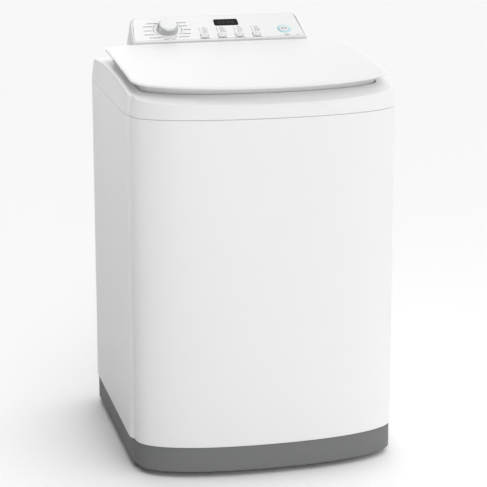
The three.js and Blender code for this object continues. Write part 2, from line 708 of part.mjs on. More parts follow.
// ---------------------------------------------------------------- basket, agitator and drive
function basket() {
  const r = BASKET_RADIUS;
  const [low, top] = [BASKET_FLOOR, BASKET_TOP];
  const outside = [[13, low], [r - 4, low], [r, low + 4], [r, top]];
  const inside = [[r - 2, top], [r - 2, low + 5], [r - 5, low + 2], [13, low + 2]];
  return turnedAboutTub([...outside, ...inside]);
}

const balanceRing = () =>
  turnedAboutTub(
    [[204, 646], [232, 646], [232, 668], [227, 674], [211, 674], [204, 668]],
    40,
  );

function agitator() {
  const column = turnedAboutTub(
    [
      [10.5, 293],
      [152, 293],
      [154, 296],
      [140, 301],
      [96, 312],
      [66, 332],
      [52, 362],
      [47, 410],
      [40, 500],
      [36, 575],
      [24.6, 575],
      [24.6, 545],
      [10.5, 545],
    ],
    30,
  );
  const fin = [[38, 300], [146, 296], [149, 305], [142, 322], [104, 352], [74, 402], [60, 468], [38, 480]];
  const rib = [[34, 486], [52, 494], [49, 566], [34, 572]];
  const blades = [];
  for (let i = 0; i < 4; i++) {
    const upright = (outline, thick, turn) =>
      aboutTub(extruded(outline, -thick / 2, thick / 2).rotateX(Math.PI / 2).rotateZ(turn));
    blades.push(upright(fin, 7, (Math.PI / 2) * i + 0.3), upright(rib, 5, (Math.PI / 2) * (i + 0.5) + 0.3));
  }
  return join(column, ...blades);
}

const agitatorShaft = () => turnedAboutTub([[0, 206], [10, 206], [10, 540], [0, 540]], 20);

function softenerCup() {
  const outside = [[6, 552], [24, 552], [24, 577], [38, 582], [41, 628]];
  const inside = [[39, 628], [36, 585], [22, 580], [22, 555], [6, 555]];
  return turnedAboutTub([...outside, ...inside], 24);
}

const lintFilter = () =>
  turnedAboutTub([[42, 576], [46, 576], [53, 622], [51, 622], [44.5, 579], [42, 579]], 24);

const spinTube = () =>
  turnedAboutTub([[12.5, 242], [18, 242], [18, 279], [40, 279], [40, 287.6], [12.5, 287.6]], 24);

const gearcase = () =>
  turnedAboutTub(
    [
      [9, 158],
      [58, 158],
      [58, 250],
      [72, 250],
      [72, 255.6],
      [30, 255.6],
      [30, 267],
      [18.6, 267],
      [18.6, 240],
      [50, 236],
      [50, 170],
      [9, 170],
    ],
    24,
  );

function mountPlate() {
  const front = [[-215, -95], [-60, -150], [120, -150], [165, -60]];
  const rear = [[165, 120], [120, 150], [-200, 150], [-215, 130]];
  return cut(extruded([...front, ...rear], 256, 262), rod(34, 0, TUB_Y, 250, 270, 32));
}

function motor() {
  const can = [[7.5, 152], [50, 152], [56, 158], [56, 246], [46, 255.6], [0, 255.6]];
  const hollow = [[0, 250], [30, 246], [30, 200], [7.5, 196]];
  return turned([...can, ...hollow], 20).translate(MOTOR.x, MOTOR.y, 0);
}

// A belt pulley with a stub shaft standing up from it.
function pulley(groove, shaft, shaftTop) {
  const half = 8;
  const rim = groove + 9;
  return turned(
    [
      [0, BELT_Z - half],
      [rim, BELT_Z - half],
      [rim, BELT_Z - half + 2],
      [groove, BELT_Z - 4],
      [groove, BELT_Z + 4],
      [rim, BELT_Z + half - 2],
      [rim, BELT_Z + half],
      [shaft + 8, BELT_Z + half],
      [shaft + 8, BELT_Z + half + 6],
      [shaft, BELT_Z + half + 6],
      [shaft, shaftTop],
      [0, shaftTop],
    ],
    groove > 30 ? 32 : 16,
  );
}

// The belt: a flat loop round both pulleys, a little clear of their grooves.
function belt() {
  const [dx, dy] = [MOTOR.x, MOTOR.y - TUB_Y];
  const reach = Math.hypot(dx, dy);
  const direction = Math.atan2(dy, dx);
  const around = (large, small) => {
    const wrap = Math.acos((large - small) / reach); // where the straight runs leave the pulleys
    const points = [];
    for (let i = 0; i <= 24; i++) {
      const turn = direction + wrap + ((2 * Math.PI - 2 * wrap) * i) / 24;
      points.push([large * Math.cos(turn), TUB_Y + large * Math.sin(turn)]);
    }
    for (let i = 0; i <= 12; i++) {
      const turn = direction - wrap + (2 * wrap * i) / 12;
      points.push([MOTOR.x + small * Math.cos(turn), MOTOR.y + small * Math.sin(turn)]);
    }
    return points;
  };
  const inner = around(DRIVE_GROOVE + 0.8, MOTOR_GROOVE + 0.8);
  return extruded(around(DRIVE_GROOVE + 6.8, MOTOR_GROOVE + 6.8), BELT_Z - 3, BELT_Z + 3, [inner.reverse()]);
}

function drainPump() {
  const body = rod(34, 120, 70, 196, 255.6, 28);
  const motorCan = rod(24, 120, 70, 156, 197, 24);
  const spout = rodAlongY(13, 120, 226, 74, 132, 20);
  return cut(join(body, motorCan, spout), rodAlongY(9.5, 120, 226, 110, 140, 16));
}

// ---------------------------------------------------------------- assembly
addPart("cabinet_shell", cabinetShell(), WHITE_ENAMEL);
addPart("rear_panel", rearPanel(), ZINC_STEEL);
addPart("base_plinth", basePlinth(), GREY_PLASTIC);
for (const [where, at] of Object.entries(FEET)) addPart(`foot_${where}`, levellingFoot(at), BLACK_RUBBER);
addPart("top_cover", topCover(), WHITE_PLASTIC);
addPart("lid_outer", lidOuter(), WHITE_PLASTIC);
addPart("lid_inner", lidInner(), WHITE_PLASTIC);
addPart("hinge_pin_left", hingePin(-1), ZINC_STEEL);
addPart("hinge_pin_right", hingePin(1), ZINC_STEEL);
addPart("lid_lock", lidLock(), GREY_PLASTIC);
addPart("lock_bolt", rodAlongX(BOLT.radius, BOLT.y, BOLT.z, BOLT.near, BOLT.far, 20), ZINC_STEEL);

addPart("console_housing", consoleHousing(), WHITE_PLASTIC);
addPart("console_fascia", consoleFascia(), FASCIA_WHITE);
addPart("display_window", displayWindow(), DISPLAY_BLACK);
addPart("control_board", controlBoard(), BOARD_GREEN);
addPart("knob_skirt", knobSkirt(), KNOB_SILVER);
addPart("knob_cap", knobCap(), WHITE_PLASTIC);
for (const [name, at] of Object.entries(OPTION_BUTTONS))
  addPart(`${name}_button`, optionButton(at), WHITE_PLASTIC);
addPart("start_button", startButton(), WHITE_PLASTIC);
addPart("start_ring", startRing(), RING_BLUE);

addPart("inlet_valve_hot", inletValve(VALVES.hot), INLET_RED);
addPart("inlet_valve_cold", inletValve(VALVES.cold), INLET_BLUE);
addPart("cord_gland", panelBush(GLAND, 10, 4, 12), BLACK_RUBBER);
addPart("drain_outlet", panelBush(OUTLET, 17, 12, 30), GREY_PLASTIC);

for (const [where, at] of Object.entries(RODS)) {
  addPart(`suspension_rod_${where}`, suspensionRod(at), ZINC_STEEL);
  addPart(`suspension_spring_${where}`, suspensionSpring(at), ZINC_STEEL);
  addPart(`rod_bracket_${where}`, rodBracket(at), ZINC_STEEL);
}
addPart("tub", tub(), TUB_PLASTIC);
addPart("tub_ring", tubRing(), TUB_PLASTIC);
addPart("mount_plate", mountPlate(), ZINC_STEEL);
addPart("gearcase", gearcase(), CAST_METAL);
addPart("motor", motor(), CAST_METAL);
addPart("drain_pump", drainPump(), GREY_PLASTIC);
addPart("belt", belt(), BLACK_RUBBER);
addPart("drive_pulley", pulley(DRIVE_GROOVE, 8, 200).translate(0, TUB_Y, 0), CAST_METAL);
addPart("motor_pulley", pulley(MOTOR_GROOVE, 6.5, 190).translate(MOTOR.x, MOTOR.y, 0), ZINC_STEEL);
addPart("spin_tube", spinTube(), ZINC_STEEL);
addPart("basket", basket(), STAINLESS);
addPart("balance_ring", balanceRing(), TUB_PLASTIC);
addPart("agitator_shaft", agitatorShaft(), ZINC_STEEL);
addPart("agitator", agitator(), AGITATOR_PLASTIC);
addPart("softener_cup", softenerCup(), FILTER_BLUE);
addPart("lint_filter", lintFilter(), FILTER_BLUE);

export default machine;
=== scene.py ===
import math

import bmesh
import bpy
import numpy as np
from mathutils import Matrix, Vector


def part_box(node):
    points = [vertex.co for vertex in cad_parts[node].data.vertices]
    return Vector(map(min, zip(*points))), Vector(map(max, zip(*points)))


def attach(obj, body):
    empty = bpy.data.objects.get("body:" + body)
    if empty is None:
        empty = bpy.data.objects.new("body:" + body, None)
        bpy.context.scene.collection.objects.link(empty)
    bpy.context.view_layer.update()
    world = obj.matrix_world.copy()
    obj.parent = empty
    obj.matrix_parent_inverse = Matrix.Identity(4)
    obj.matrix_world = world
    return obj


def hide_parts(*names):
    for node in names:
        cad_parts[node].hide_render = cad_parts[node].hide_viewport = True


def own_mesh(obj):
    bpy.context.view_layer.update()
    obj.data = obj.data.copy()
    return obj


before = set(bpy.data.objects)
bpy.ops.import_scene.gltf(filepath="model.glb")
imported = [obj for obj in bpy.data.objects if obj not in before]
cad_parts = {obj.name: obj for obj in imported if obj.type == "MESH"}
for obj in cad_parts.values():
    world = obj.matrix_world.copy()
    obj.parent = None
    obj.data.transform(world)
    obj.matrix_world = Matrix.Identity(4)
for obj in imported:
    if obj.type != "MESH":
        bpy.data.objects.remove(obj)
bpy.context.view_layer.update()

mm = 0.001  # every size below is in millimetres, and meshes are written in metres
print("frame loaded:", len(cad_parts), "CAD nodes")


# ---- measures read from the frame
def boxOf(node):
    low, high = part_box(node)
    return np.array(low) / mm, np.array(high) / mm


cabinetLow, cabinetHigh = boxOf("cabinet_shell")
plinthLow, plinthHigh = boxOf("base_plinth")
basketLow, basketHigh = boxOf("basket")
tubAxis = (basketLow + basketHigh) / 2  # the tub, basket and agitator turn about this upright line

body = {
    "half": cabinetHigh[0],
    "front": cabinetLow[1],
    "rear": cabinetHigh[1],
    "shoulder": cabinetLow[1] + 117,  # where the bow meets the flat sides
    "corner": 45,
    "bow": (2.2, 2.4),
    "edge": (8, 20),  # the soft upright edge between each side and the bow: inwards and forwards
    "seam": cabinetHigh[2],
    "sheet": 2,
}
deck = {"crownY": 48, "crownTop": 795.3, "crownFall": 4000, "ledge": 770, "wall": 3, "lip": 736}
hinge = {"y": 180, "z": 806}
boltLow, boltHigh = boxOf("lock_bolt")
boltAxis = (boltLow[1:] + boltHigh[1:]) / 2


# ---- materials
# Colour wavers by a slow noise (mottle = scale, share) and the surface by a fine one (grain = scale,
# height).
def makeMaterial(name, color, roughness, metallic=0.0, coat=0.0, grain=None, mottle=None, specular=0.5):
    material = bpy.data.materials.new(name)
    material.use_nodes = True
    nodes, links = material.node_tree.nodes, material.node_tree.links
    shader = nodes["Principled BSDF"]
    shader.inputs["Base Color"].default_value = (*color, 1)
    shader.inputs["Roughness"].default_value = roughness
    shader.inputs["Metallic"].default_value = metallic
    shader.inputs["Coat Weight"].default_value = coat
    shader.inputs["Coat Roughness"].default_value = 0.12
    shader.inputs["Specular IOR Level"].default_value = specular
    place = nodes.new("ShaderNodeTexCoord")
    if mottle:
        scale, share = mottle
        noise = nodes.new("ShaderNodeTexNoise")
        noise.inputs["Scale"].default_value = scale
        noise.inputs["Detail"].default_value = 4
        links.new(place.outputs["Object"], noise.inputs["Vector"])
        ramp = nodes.new("ShaderNodeValToRGB")
        ramp.color_ramp.elements[0].position = 0.3
        ramp.color_ramp.elements[1].position = 0.7
        ramp.color_ramp.elements[0].color = (*[c * (1 - share) for c in color], 1)
        ramp.color_ramp.elements[1].color = (*[min(c * (1 + share), 1) for c in color], 1)
        links.new(noise.outputs["Fac"], ramp.inputs["Fac"])
        links.new(ramp.outputs["Color"], shader.inputs["Base Color"])
    if grain:
        scale, height = grain
        fine = nodes.new("ShaderNodeTexNoise")
        fine.inputs["Scale"].default_value = scale
        fine.inputs["Detail"].default_value = 2
        links.new(place.outputs["Object"], fine.inputs["Vector"])
        bump = nodes.new("ShaderNodeBump")
        bump.inputs["Strength"].default_value = 1.0
        bump.inputs["Distance"].default_value = height * mm
        links.new(fine.outputs["Fac"], bump.inputs["Height"])
        links.new(bump.outputs["Normal"], shader.inputs["Normal"])
    return material


edgeAngle = 32  # degrees: edges that bend more than this stay sharp

finishes = {
    "enamel": makeMaterial("whiteEnamel", (0.75, 0.752, 0.75), 0.4, grain=(260, 0.04), mottle=(3, 0.006)),
    "whitePlastic": makeMaterial(
        "whitePlastic", (0.75, 0.752, 0.75), 0.42, grain=(900, 0.03), mottle=(5, 0.006)
    ),
    "lidPlastic": makeMaterial(
        "lidPlastic", (0.735, 0.737, 0.735), 0.4, grain=(900, 0.03), mottle=(4, 0.005)
    ),
    "plinthGrey": makeMaterial(
        "plinthGrey", (0.15, 0.155, 0.152), 0.62, grain=(1400, 0.25), mottle=(900, 0.12)
    ),
    "fasciaWhite": makeMaterial("fasciaWhite", (0.77, 0.773, 0.773), 0.34, mottle=(6, 0.004)),
    "buttonWhite": makeMaterial("buttonWhite", (0.72, 0.725, 0.73), 0.38, mottle=(40, 0.01)),
    "capWhite": makeMaterial("capWhite", (0.74, 0.743, 0.745), 0.36, mottle=(30, 0.008)),
    "knobSilver": makeMaterial("knobSilver", (0.55, 0.555, 0.565), 0.34, metallic=0.75, grain=(2500, 0.03)),
    "displayBlack": makeMaterial(
        "displayBlack", (0.005, 0.005, 0.006), 0.4, mottle=(60, 0.3), specular=0.06
    ),
    "segmentGrey": makeMaterial("segmentGrey", (0.035, 0.037, 0.04), 0.4, mottle=(200, 0.05), specular=0.2),
    "ringCyan": makeMaterial("ringCyan", (0.36, 0.74, 0.82), 0.4, mottle=(120, 0.03)),
    "printGrey": makeMaterial("printGrey", (0.045, 0.047, 0.05), 0.5, mottle=(300, 0.05)),
    "printPale": makeMaterial("printPale", (0.19, 0.195, 0.2), 0.5, mottle=(300, 0.05)),
    "zinc": makeMaterial(
        "zincSheet", (0.5, 0.51, 0.52), 0.42, metallic=0.85, grain=(180, 0.05), mottle=(55, 0.1)
    ),
    "steel": makeMaterial(
        "platedSteel", (0.48, 0.49, 0.5), 0.36, metallic=0.95, grain=(600, 0.03), mottle=(90, 0.06)
    ),
    "castMetal": makeMaterial(
        "castMetal", (0.33, 0.34, 0.35), 0.6, metallic=0.6, grain=(700, 0.25), mottle=(60, 0.1)
    ),
    "tubPlastic": makeMaterial("tubPlastic", (0.66, 0.69, 0.71), 0.5, grain=(500, 0.06), mottle=(12, 0.02)),
    "ringPlastic": makeMaterial(
        "ringPlastic", (0.74, 0.76, 0.78), 0.42, grain=(700, 0.04), mottle=(15, 0.015)
    ),
    "agitatorPlastic": makeMaterial(
        "agitatorPlastic", (0.78, 0.81, 0.85), 0.34, coat=0.2, mottle=(12, 0.012)
    ),
    "softBlue": makeMaterial("softBlue", (0.2, 0.43, 0.62), 0.38, coat=0.2, mottle=(40, 0.03)),
    "greyPlastic": makeMaterial(
        "greyPlastic", (0.2, 0.205, 0.205), 0.55, grain=(900, 0.08), mottle=(50, 0.05)
    ),
    "rubber": makeMaterial("blackRubber", (0.018, 0.018, 0.019), 0.75, grain=(800, 0.1), mottle=(80, 0.15)),
    "boardGreen": makeMaterial("boardGreen", (0.03, 0.14, 0.06), 0.45, mottle=(150, 0.2)),
    "valveRed": makeMaterial("valveRed", (0.5, 0.05, 0.045), 0.45, mottle=(60, 0.06)),
    "valveBlue": makeMaterial("valveBlue", (0.05, 0.12, 0.45), 0.45, mottle=(60, 0.06)),
}


# Stainless sheet with round holes: dark where the distance to the nearest point of a staggered lattice
# of arc length and height is under the hole's radius. The lattice comes from a UV map laid out in hole
# pitches.
def perforatedSteel(settings):
    material = makeMaterial("perforatedSteel", (0.56, 0.57, 0.58), 0.28, metallic=0.95)
    nodes, links = material.node_tree.nodes, material.node_tree.links
    shader = nodes["Principled BSDF"]
    layout = nodes.new("ShaderNodeUVMap")
    layout.uv_map = "pitch"
    distances = []
    for shift in (0.0, 0.5):
        moved = nodes.new("ShaderNodeVectorMath")
        moved.operation = "ADD"
        moved.inputs[1].default_value = (shift, shift, 0)
        links.new(layout.outputs["UV"], moved.inputs[0])
        cell = nodes.new("ShaderNodeVectorMath")
        cell.operation = "FRACTION"
        links.new(moved.outputs["Vector"], cell.inputs[0])
        centred = nodes.new("ShaderNodeVectorMath")
        centred.operation = "SUBTRACT"
        centred.inputs[1].default_value = (0.5, 0.5, 0)
        links.new(cell.outputs["Vector"], centred.inputs[0])
        length = nodes.new("ShaderNodeVectorMath")
        length.operation = "LENGTH"
        links.new(centred.outputs["Vector"], length.inputs[0])
        distances.append(length)
    nearest = nodes.new("ShaderNodeMath")
    nearest.operation = "MINIMUM"
    links.new(distances[0].outputs["Value"], nearest.inputs[0])
    links.new(distances[1].outputs["Value"], nearest.inputs[1])
    ramp = nodes.new("ShaderNodeValToRGB")
    ramp.color_ramp.elements[0].position = settings["holeShare"]
    ramp.color_ramp.elements[1].position = settings["holeShare"] + 0.03
    ramp.color_ramp.elements[0].color = (0.015, 0.016, 0.018, 1)
    ramp.color_ramp.elements[1].color = (0.56, 0.57, 0.58, 1)
    links.new(nearest.outputs["Value"], ramp.inputs["Fac"])
    links.new(ramp.outputs["Color"], shader.inputs["Base Color"])
    return material


print("materials made:", len(finishes))


# ---- meshes from arrays
# Quads between neighbouring rows and columns of a grid; either way round may close on itself.
def gridFaces(rows, columns, wrapRows, wrapColumns):
    r, c = np.meshgrid(
        np.arange(rows if wrapRows else rows - 1),
        np.arange(columns if wrapColumns else columns - 1),
        indexing="ij",
    )
    nextRow, nextColumn = (r + 1) % rows, (c + 1) % columns
    here, after = r * columns, nextRow * columns
    corners = [here + c, here + nextColumn, after + nextColumn, after + c]
    return np.stack(corners, -1).reshape(-1, 4)


# One closed surface from a grid of points: open ends are capped with a flat face.
def shell(points, wrapRows=False, wrapColumns=True):
    rows, columns = points.shape[:2]
    faces = gridFaces(rows, columns, wrapRows, wrapColumns).tolist()
    if not wrapRows:
        faces += [list(range(columns))[::-1], list(range((rows - 1) * columns, rows * columns))]
    if not wrapColumns:
        first = [k * columns for k in range(rows)]
        faces += [first, [k + columns - 1 for k in first][::-1]]
    return points.reshape(-1, 3), faces


# A mesh object from one or more closed surfaces, smooth but for the edges that bend more than
# sharpAngle.
def makePiece(name, shells, material, rideOn, replaces=(), sharpAngle=edgeAngle):
    offset = 0
    allPoints, allFaces = [], []
    for points, faces in shells:
        allPoints.append(points)
        allFaces += [[index + offset for index in face] for face in faces]
        offset += len(points)
    mesh = bpy.data.meshes.new(name)
    mesh.from_pydata((np.concatenate(allPoints) * mm).tolist(), [], allFaces)
    work = bmesh.new()
    work.from_mesh(mesh)
    bmesh.ops.remove_doubles(work, verts=work.verts, dist=1e-6)
    bmesh.ops.recalc_face_normals(work, faces=work.faces)
    work.to_mesh(mesh)
    work.free()
    mesh.shade_smooth()
    mesh.set_sharp_from_angle(angle=math.radians(sharpAngle))
    mesh.materials.append(material)
    piece = bpy.data.objects.new(name, mesh)
    bpy.context.scene.collection.objects.link(piece)
    if replaces:
        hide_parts(*replaces)
    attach(piece, rideOn)
    return piece


# Rings of points with each turn from ring to ring eased: a quadratic arc that starts and ends radius
# away.
def roundRings(rings, radii, closed=False, steps=5):
    rings = np.asarray(rings, float)
    count = len(rings)
    eased = []
    for k in range(count):
        isEnd = not closed and k in (0, count - 1)
        if radii[k] <= 0 or isEnd:
            eased.append(rings[k])
            continue
        here, back, ahead = rings[k], rings[k - 1] - rings[k], rings[(k + 1) % count] - rings[k]
        backLength = np.maximum(np.linalg.norm(back, axis=-1, keepdims=True), 1e-9)
        aheadLength = np.maximum(np.linalg.norm(ahead, axis=-1, keepdims=True), 1e-9)
        start = here + back * np.minimum(radii[k] / backLength, 0.48)
        end = here + ahead * np.minimum(radii[k] / aheadLength, 0.48)
        for t in np.linspace(0, 1, steps + 1):
            eased.append((1 - t) ** 2 * start + 2 * t * (1 - t) * here + t**2 * end)
    return np.array(eased)


planSteps = {"bow": 96, "edge": 8, "side": 10, "corner": 10, "rear": 6}


# The plan that cabinet, cover, lid and plinth share: a superellipse bow at the front, flat sides, and
# a straight rear with round corners. Across the bow, with powers p and q, x is half times minus cos(t)
# to the 2/p, and y is the shoulder less the bow's depth times sin(t) to the 2/q.
def outline(half, front, shoulder, rear, corner, bow=body["bow"], edge=(0.4, 2)):
    sideSteps, cornerSteps, rearSteps = planSteps["side"], planSteps["corner"], planSteps["rear"]
    inwards, forwards = edge
    bowHalf, bowShoulder = half - inwards, shoulder - forwards
    t = math.pi / 2 * (1 - np.cos(math.pi * np.linspace(0, 1, planSteps["bow"] + 1)))
    across = np.sign(np.cos(t)) * np.abs(np.cos(t)) ** (2 / bow[0])
    out = np.maximum(np.sin(t), 0) ** (2 / bow[1])
    front = np.stack([-bowHalf * across, bowShoulder - (bowShoulder - front) * out], 1)
    left = 1 - np.linspace(0, 1, planSteps["edge"] + 1)[1:]
    soft = np.stack([half - inwards * left**2, shoulder - forwards * left], 1)
    up = np.linspace(shoulder, rear - corner, sideSteps + 1)[1:]
    turn = np.linspace(0, math.pi / 2, cornerSteps + 1)[1:]
    bend = np.stack([half - corner + corner * np.cos(turn), rear - corner + corner * np.sin(turn)], 1)
    side = np.stack([np.full(sideSteps, half), up], 1)
    along = np.linspace(half - corner, corner - half, rearSteps + 1)[1:-1]
    back = np.stack([along, np.full(rearSteps - 1, rear)], 1)
    leftHalf = (np.concatenate([soft, side, bend]) * [-1, 1])[::-1]
    return np.concatenate([front, soft, side, bend, back, leftHalf])


def bodyOutline(inset):
    return outline(
        body["half"] - inset,
        body["front"] + inset,
        body["shoulder"],
        body["rear"] - inset,
        max(body["corner"] - inset, 2),
        body["bow"],
        body["edge"],
    )


def grown(plan, by):
    return {
        "half": plan["half"] + by,
        "front": plan["front"] - by,
        "shoulder": plan["shoulder"],
        "rear": plan["rear"] + by,
        "corner": max(plan["corner"] + by, 2),
        "bow": plan["bow"],
    }


# Lifts a plan loop to a height, given as a number or as a function of x and y.
def atHeight(plan, height):
    x, y = plan[:, 0], plan[:, 1]
    z = height(x, y) if callable(height) else np.full(len(plan), float(height))
    return np.stack([x, y, z], 1)


# A profile of [radius, height] points, its corners eased, turned about an upright line through centre.
def turned(profile, radii=None, centre=(0, 0), segments=96, closed=True, steps=4):
    profile = np.array(profile, float)
    radii = [0] * len(profile) if radii is None else radii
    eased = roundRings(profile[:, None, :], radii, closed, steps)[:, 0, :]
    turn = np.linspace(0, 2 * math.pi, segments, endpoint=False)
    x = centre[0] + eased[:, :1] * np.cos(turn)
    y = centre[1] + eased[:, :1] * np.sin(turn)
    z = np.broadcast_to(eased[:, 1:], x.shape)
    return shell(np.stack([x, y, z], -1), wrapRows=closed)


# ---- crowned surfaces
# A height rule that lies a fixed distance below another one.
def lowered(rule, by):
    def height(x, y):
        return rule(x, y) - by

    return height


# The deck's crown, a parabola along y.
def rimHeight(x, y):
    return deck["crownTop"] - (y - deck["crownY"]) ** 2 / deck["crownFall"]


# The lid's top: rising to the rear, flatter there, and lower towards the sides by a fourth power.
def lidHeight(x, y):
    return 824 - 0.02 * (201 - y) - (201 - y) ** 2 / 15100 - 1.2 * (x / 264) ** 4


channel = {
    "y": [-241, -160, -99, -53, -6, 66, 151],
    "z": [784, 784, 785.5, 787, 789.5, 794, 792.5],
}


# Where the deck meets the lid: a dip beside and in front of it that runs out into the crown behind.
def channelHeight(x, y):
    return np.where(y >= channel["y"][-1], rimHeight(x, y), np.interp(y, channel["y"], channel["z"]))


# ---- cabinet and plinth
# The steel wrap: its outline, open between the rear flanges, carried up with an eased hem at both ends.
def makeCabinet():
    flangeEdge = body["half"] - body["corner"] - 22
    loops = []
    for inset in (0, body["sheet"]):
        loop = bodyOutline(inset)
        fromCorner = planSteps["edge"] + planSteps["side"] + planSteps["corner"]
        loop = np.roll(loop, fromCorner - len(loop), axis=0)  # starts at the left rear corner
        loop = loop[: len(loop) - planSteps["rear"] + 1]  # leaves out the straight rear
        y = body["rear"] - inset
        loops.append(np.concatenate([[[-flangeEdge, y]], loop, [[flangeEdge, y]]]))
    outside, inside = loops
    low, high = cabinetLow[2], cabinetHigh[2]
    middle = (outside + inside) / 2
    hem = 1.2
    rings = [
        atHeight(outside, low + hem),
        atHeight(outside, high - 0.6),
        atHeight(middle, high),
        atHeight(inside, high - 0.6),
        atHeight(inside, low + hem),
        atHeight(middle, low),
    ]
    rings = roundRings(rings, [0.8, 0.5, 0.4, 0.3, 0.3, 0.8], closed=True, steps=3)
    grid = shell(rings, wrapRows=True, wrapColumns=False)
    return makePiece("cabinetWrap", [grid], finishes["enamel"], "cabinet", ["cabinet_shell"])


def makePlinth():
    low, high = plinthLow[2], plinthHigh[2]
    rings = [
        atHeight(bodyOutline(4.2), low),
        atHeight(bodyOutline(2.5), low + 1.5),
        atHeight(bodyOutline(2.5), high),
        atHeight(bodyOutline(70), high),
        atHeight(bodyOutline(70), high - 14),
        atHeight(bodyOutline(6.5), high - 14),
        atHeight(bodyOutline(6.5), low),
    ]
    shells = [shell(roundRings(rings, [0.6, 2.5, 0.6, 1, 1, 4, 0.6], closed=True), wrapRows=True)]
    for foot in ("front_left", "front_right", "rear_left", "rear_right"):
        footLow, footHigh = boxOf(f"foot_{foot}")
        centre = ((footLow + footHigh) / 2)[:2]
        boss = [[5.6, 15], [17, 15], [17, high - 13], [5.6, high - 13]]
        shells.append(turned(boss, [0.5, 1.5, 0, 0], centre, segments=48))
    return makePiece("plinth", shells, finishes["plinthGrey"], "cabinet", ["base_plinth"])


def makeFoot(where):
    low, high = boxOf(f"foot_{where}")
    centre = ((low + high) / 2)[:2]
    pad = [[0, 0], [17, 0], [19, 2.5], [19, 7], [12, 11], [0, 11]]
    nut = [[4, 11.1], [12, 11.1], [12, 13.5], [4, 13.5]]
    pitch = 2.0
    heights = np.arange(13.6, 74, pitch / 2)
    thread = [[0, 13.6]] + [[5 - 0.6 * (k % 2), z] for k, z in enumerate(heights)] + [[0, heights[-1]]]
    rubberPart = makePiece(
        f"footPad_{where}",
        [turned(pad, [0, 1.5, 1, 1.5, 1.5, 0], centre, 48, closed=False)],
        finishes["rubber"],
        f"foot_{where}",
        [f"foot_{where}"],
    )
    steelPart = makePiece(
        f"footScrew_{where}",
        [turned(nut, [0, 0.4, 0.4, 0], centre, 6), turned(thread, None, centre, 24, closed=False)],
        finishes["steel"],
        f"foot_{where}",
        [f"foot_{where}"],
    )
    return rubberPart, steelPart


# ---- top cover
lidBow = (2.05, 2.2)  # the lid and its recess have rounder front corners than the cabinet
recess = {"half": 246, "front": -241, "shoulder": -148, "rear": 196, "corner": 14, "bow": lidBow}
opening = {"half": 196, "front": -196, "shoulder": -112, "rear": 128, "corner": 60, "bow": lidBow}
hingePost = {"inner": 229, "outer": 238, "radius": 7, "bore": 4.4}
boltHole = {"left": 196, "right": 216, "radius": 3.2}


def makeTopCover():
    seam = body["seam"] + 0.4
    wall = deck["wall"]
    ledge = deck["ledge"]
    rings = [
        atHeight(bodyOutline(0.5), seam),
        atHeight(bodyOutline(0), seam + 1.2),
        atHeight(bodyOutline(1), seam + 14),
        atHeight(bodyOutline(5), rimHeight),
        atHeight(bodyOutline(14), lowered(rimHeight, -0.5)),
        atHeight(outline(**recess), channelHeight),
        atHeight(outline(**grown(recess, -1.5)), ledge),
        atHeight(outline(**grown(opening, 6)), ledge),
        atHeight(outline(**opening), ledge - 6),
        atHeight(outline(**opening), deck["lip"]),
        atHeight(outline(**grown(opening, wall)), deck["lip"]),
        atHeight(outline(**grown(opening, wall + 6)), ledge - wall - 3),
        atHeight(outline(**grown(recess, 1.5)), ledge - wall),
        atHeight(outline(**grown(recess, wall)), lowered(channelHeight, wall)),
        atHeight(bodyOutline(14), lowered(rimHeight, wall + 1)),
        atHeight(bodyOutline(8), lowered(rimHeight, wall + 3)),
        atHeight(bodyOutline(wall + 1), seam + 14),
        atHeight(bodyOutline(wall), seam),
    ]
    radii = [0.3, 1, 12, 7, 6, 1.5, 3, 6, 6, 1, 1, 3, 3, 3, 3, 3, 3, 0.3]
    shells = [shell(roundRings(rings, radii, closed=True, steps=6), wrapRows=True)]
    piece = makePiece("topCover", shells, finishes["whitePlastic"], "cabinet", ["top_cover"])
    cutAway(piece, barrel(boltHole["left"], boltHole["right"], *boltAxis, boltHole["radius"]))
    return piece


# Cuts one closed shell out of a finished piece.
def cutAway(piece, cutterShell):
    points, faces = cutterShell
    mesh = bpy.data.meshes.new("cutter")
    mesh.from_pydata((points * mm).tolist(), [], faces)
    work = bmesh.new()
    work.from_mesh(mesh)
    bmesh.ops.recalc_face_normals(work, faces=work.faces)
    work.to_mesh(mesh)
    work.free()
    cutter = bpy.data.objects.new("cutter", mesh)
    bpy.context.scene.collection.objects.link(cutter)
    change = piece.modifiers.new("cut", "BOOLEAN")
    change.operation = "DIFFERENCE"
    change.object = cutter
    bpy.context.view_layer.update()
    finished = piece.evaluated_get(bpy.context.evaluated_depsgraph_get())
    plain = piece.data
    piece.data = bpy.data.meshes.new_from_object(finished)
    piece.modifiers.remove(change)
    bpy.data.objects.remove(cutter)
    bpy.data.meshes.remove(mesh)
    bpy.data.meshes.remove(plain)
    piece.data.set_sharp_from_angle(angle=math.radians(edgeAngle))


# A tube or a bar along x.
def barrel(left, right, y, z, radius, bore=0.0, segments=48):
    turn = np.linspace(0, 2 * math.pi, segments, endpoint=False)
    edge = min(0.8, radius / 5)
    profile = [[left, radius - edge], [left + edge, radius], [right - edge, radius], [right, radius - edge]]
    if bore:
        profile += [[right, bore], [left, bore]]
    profile = np.array(profile)
    x = np.broadcast_to(profile[:, :1], (len(profile), segments))
    yy = y + profile[:, 1:] * np.cos(turn)
    zz = z + profile[:, 1:] * np.sin(turn)
    return shell(np.stack([x, yy, zz], -1), wrapRows=bool(bore))


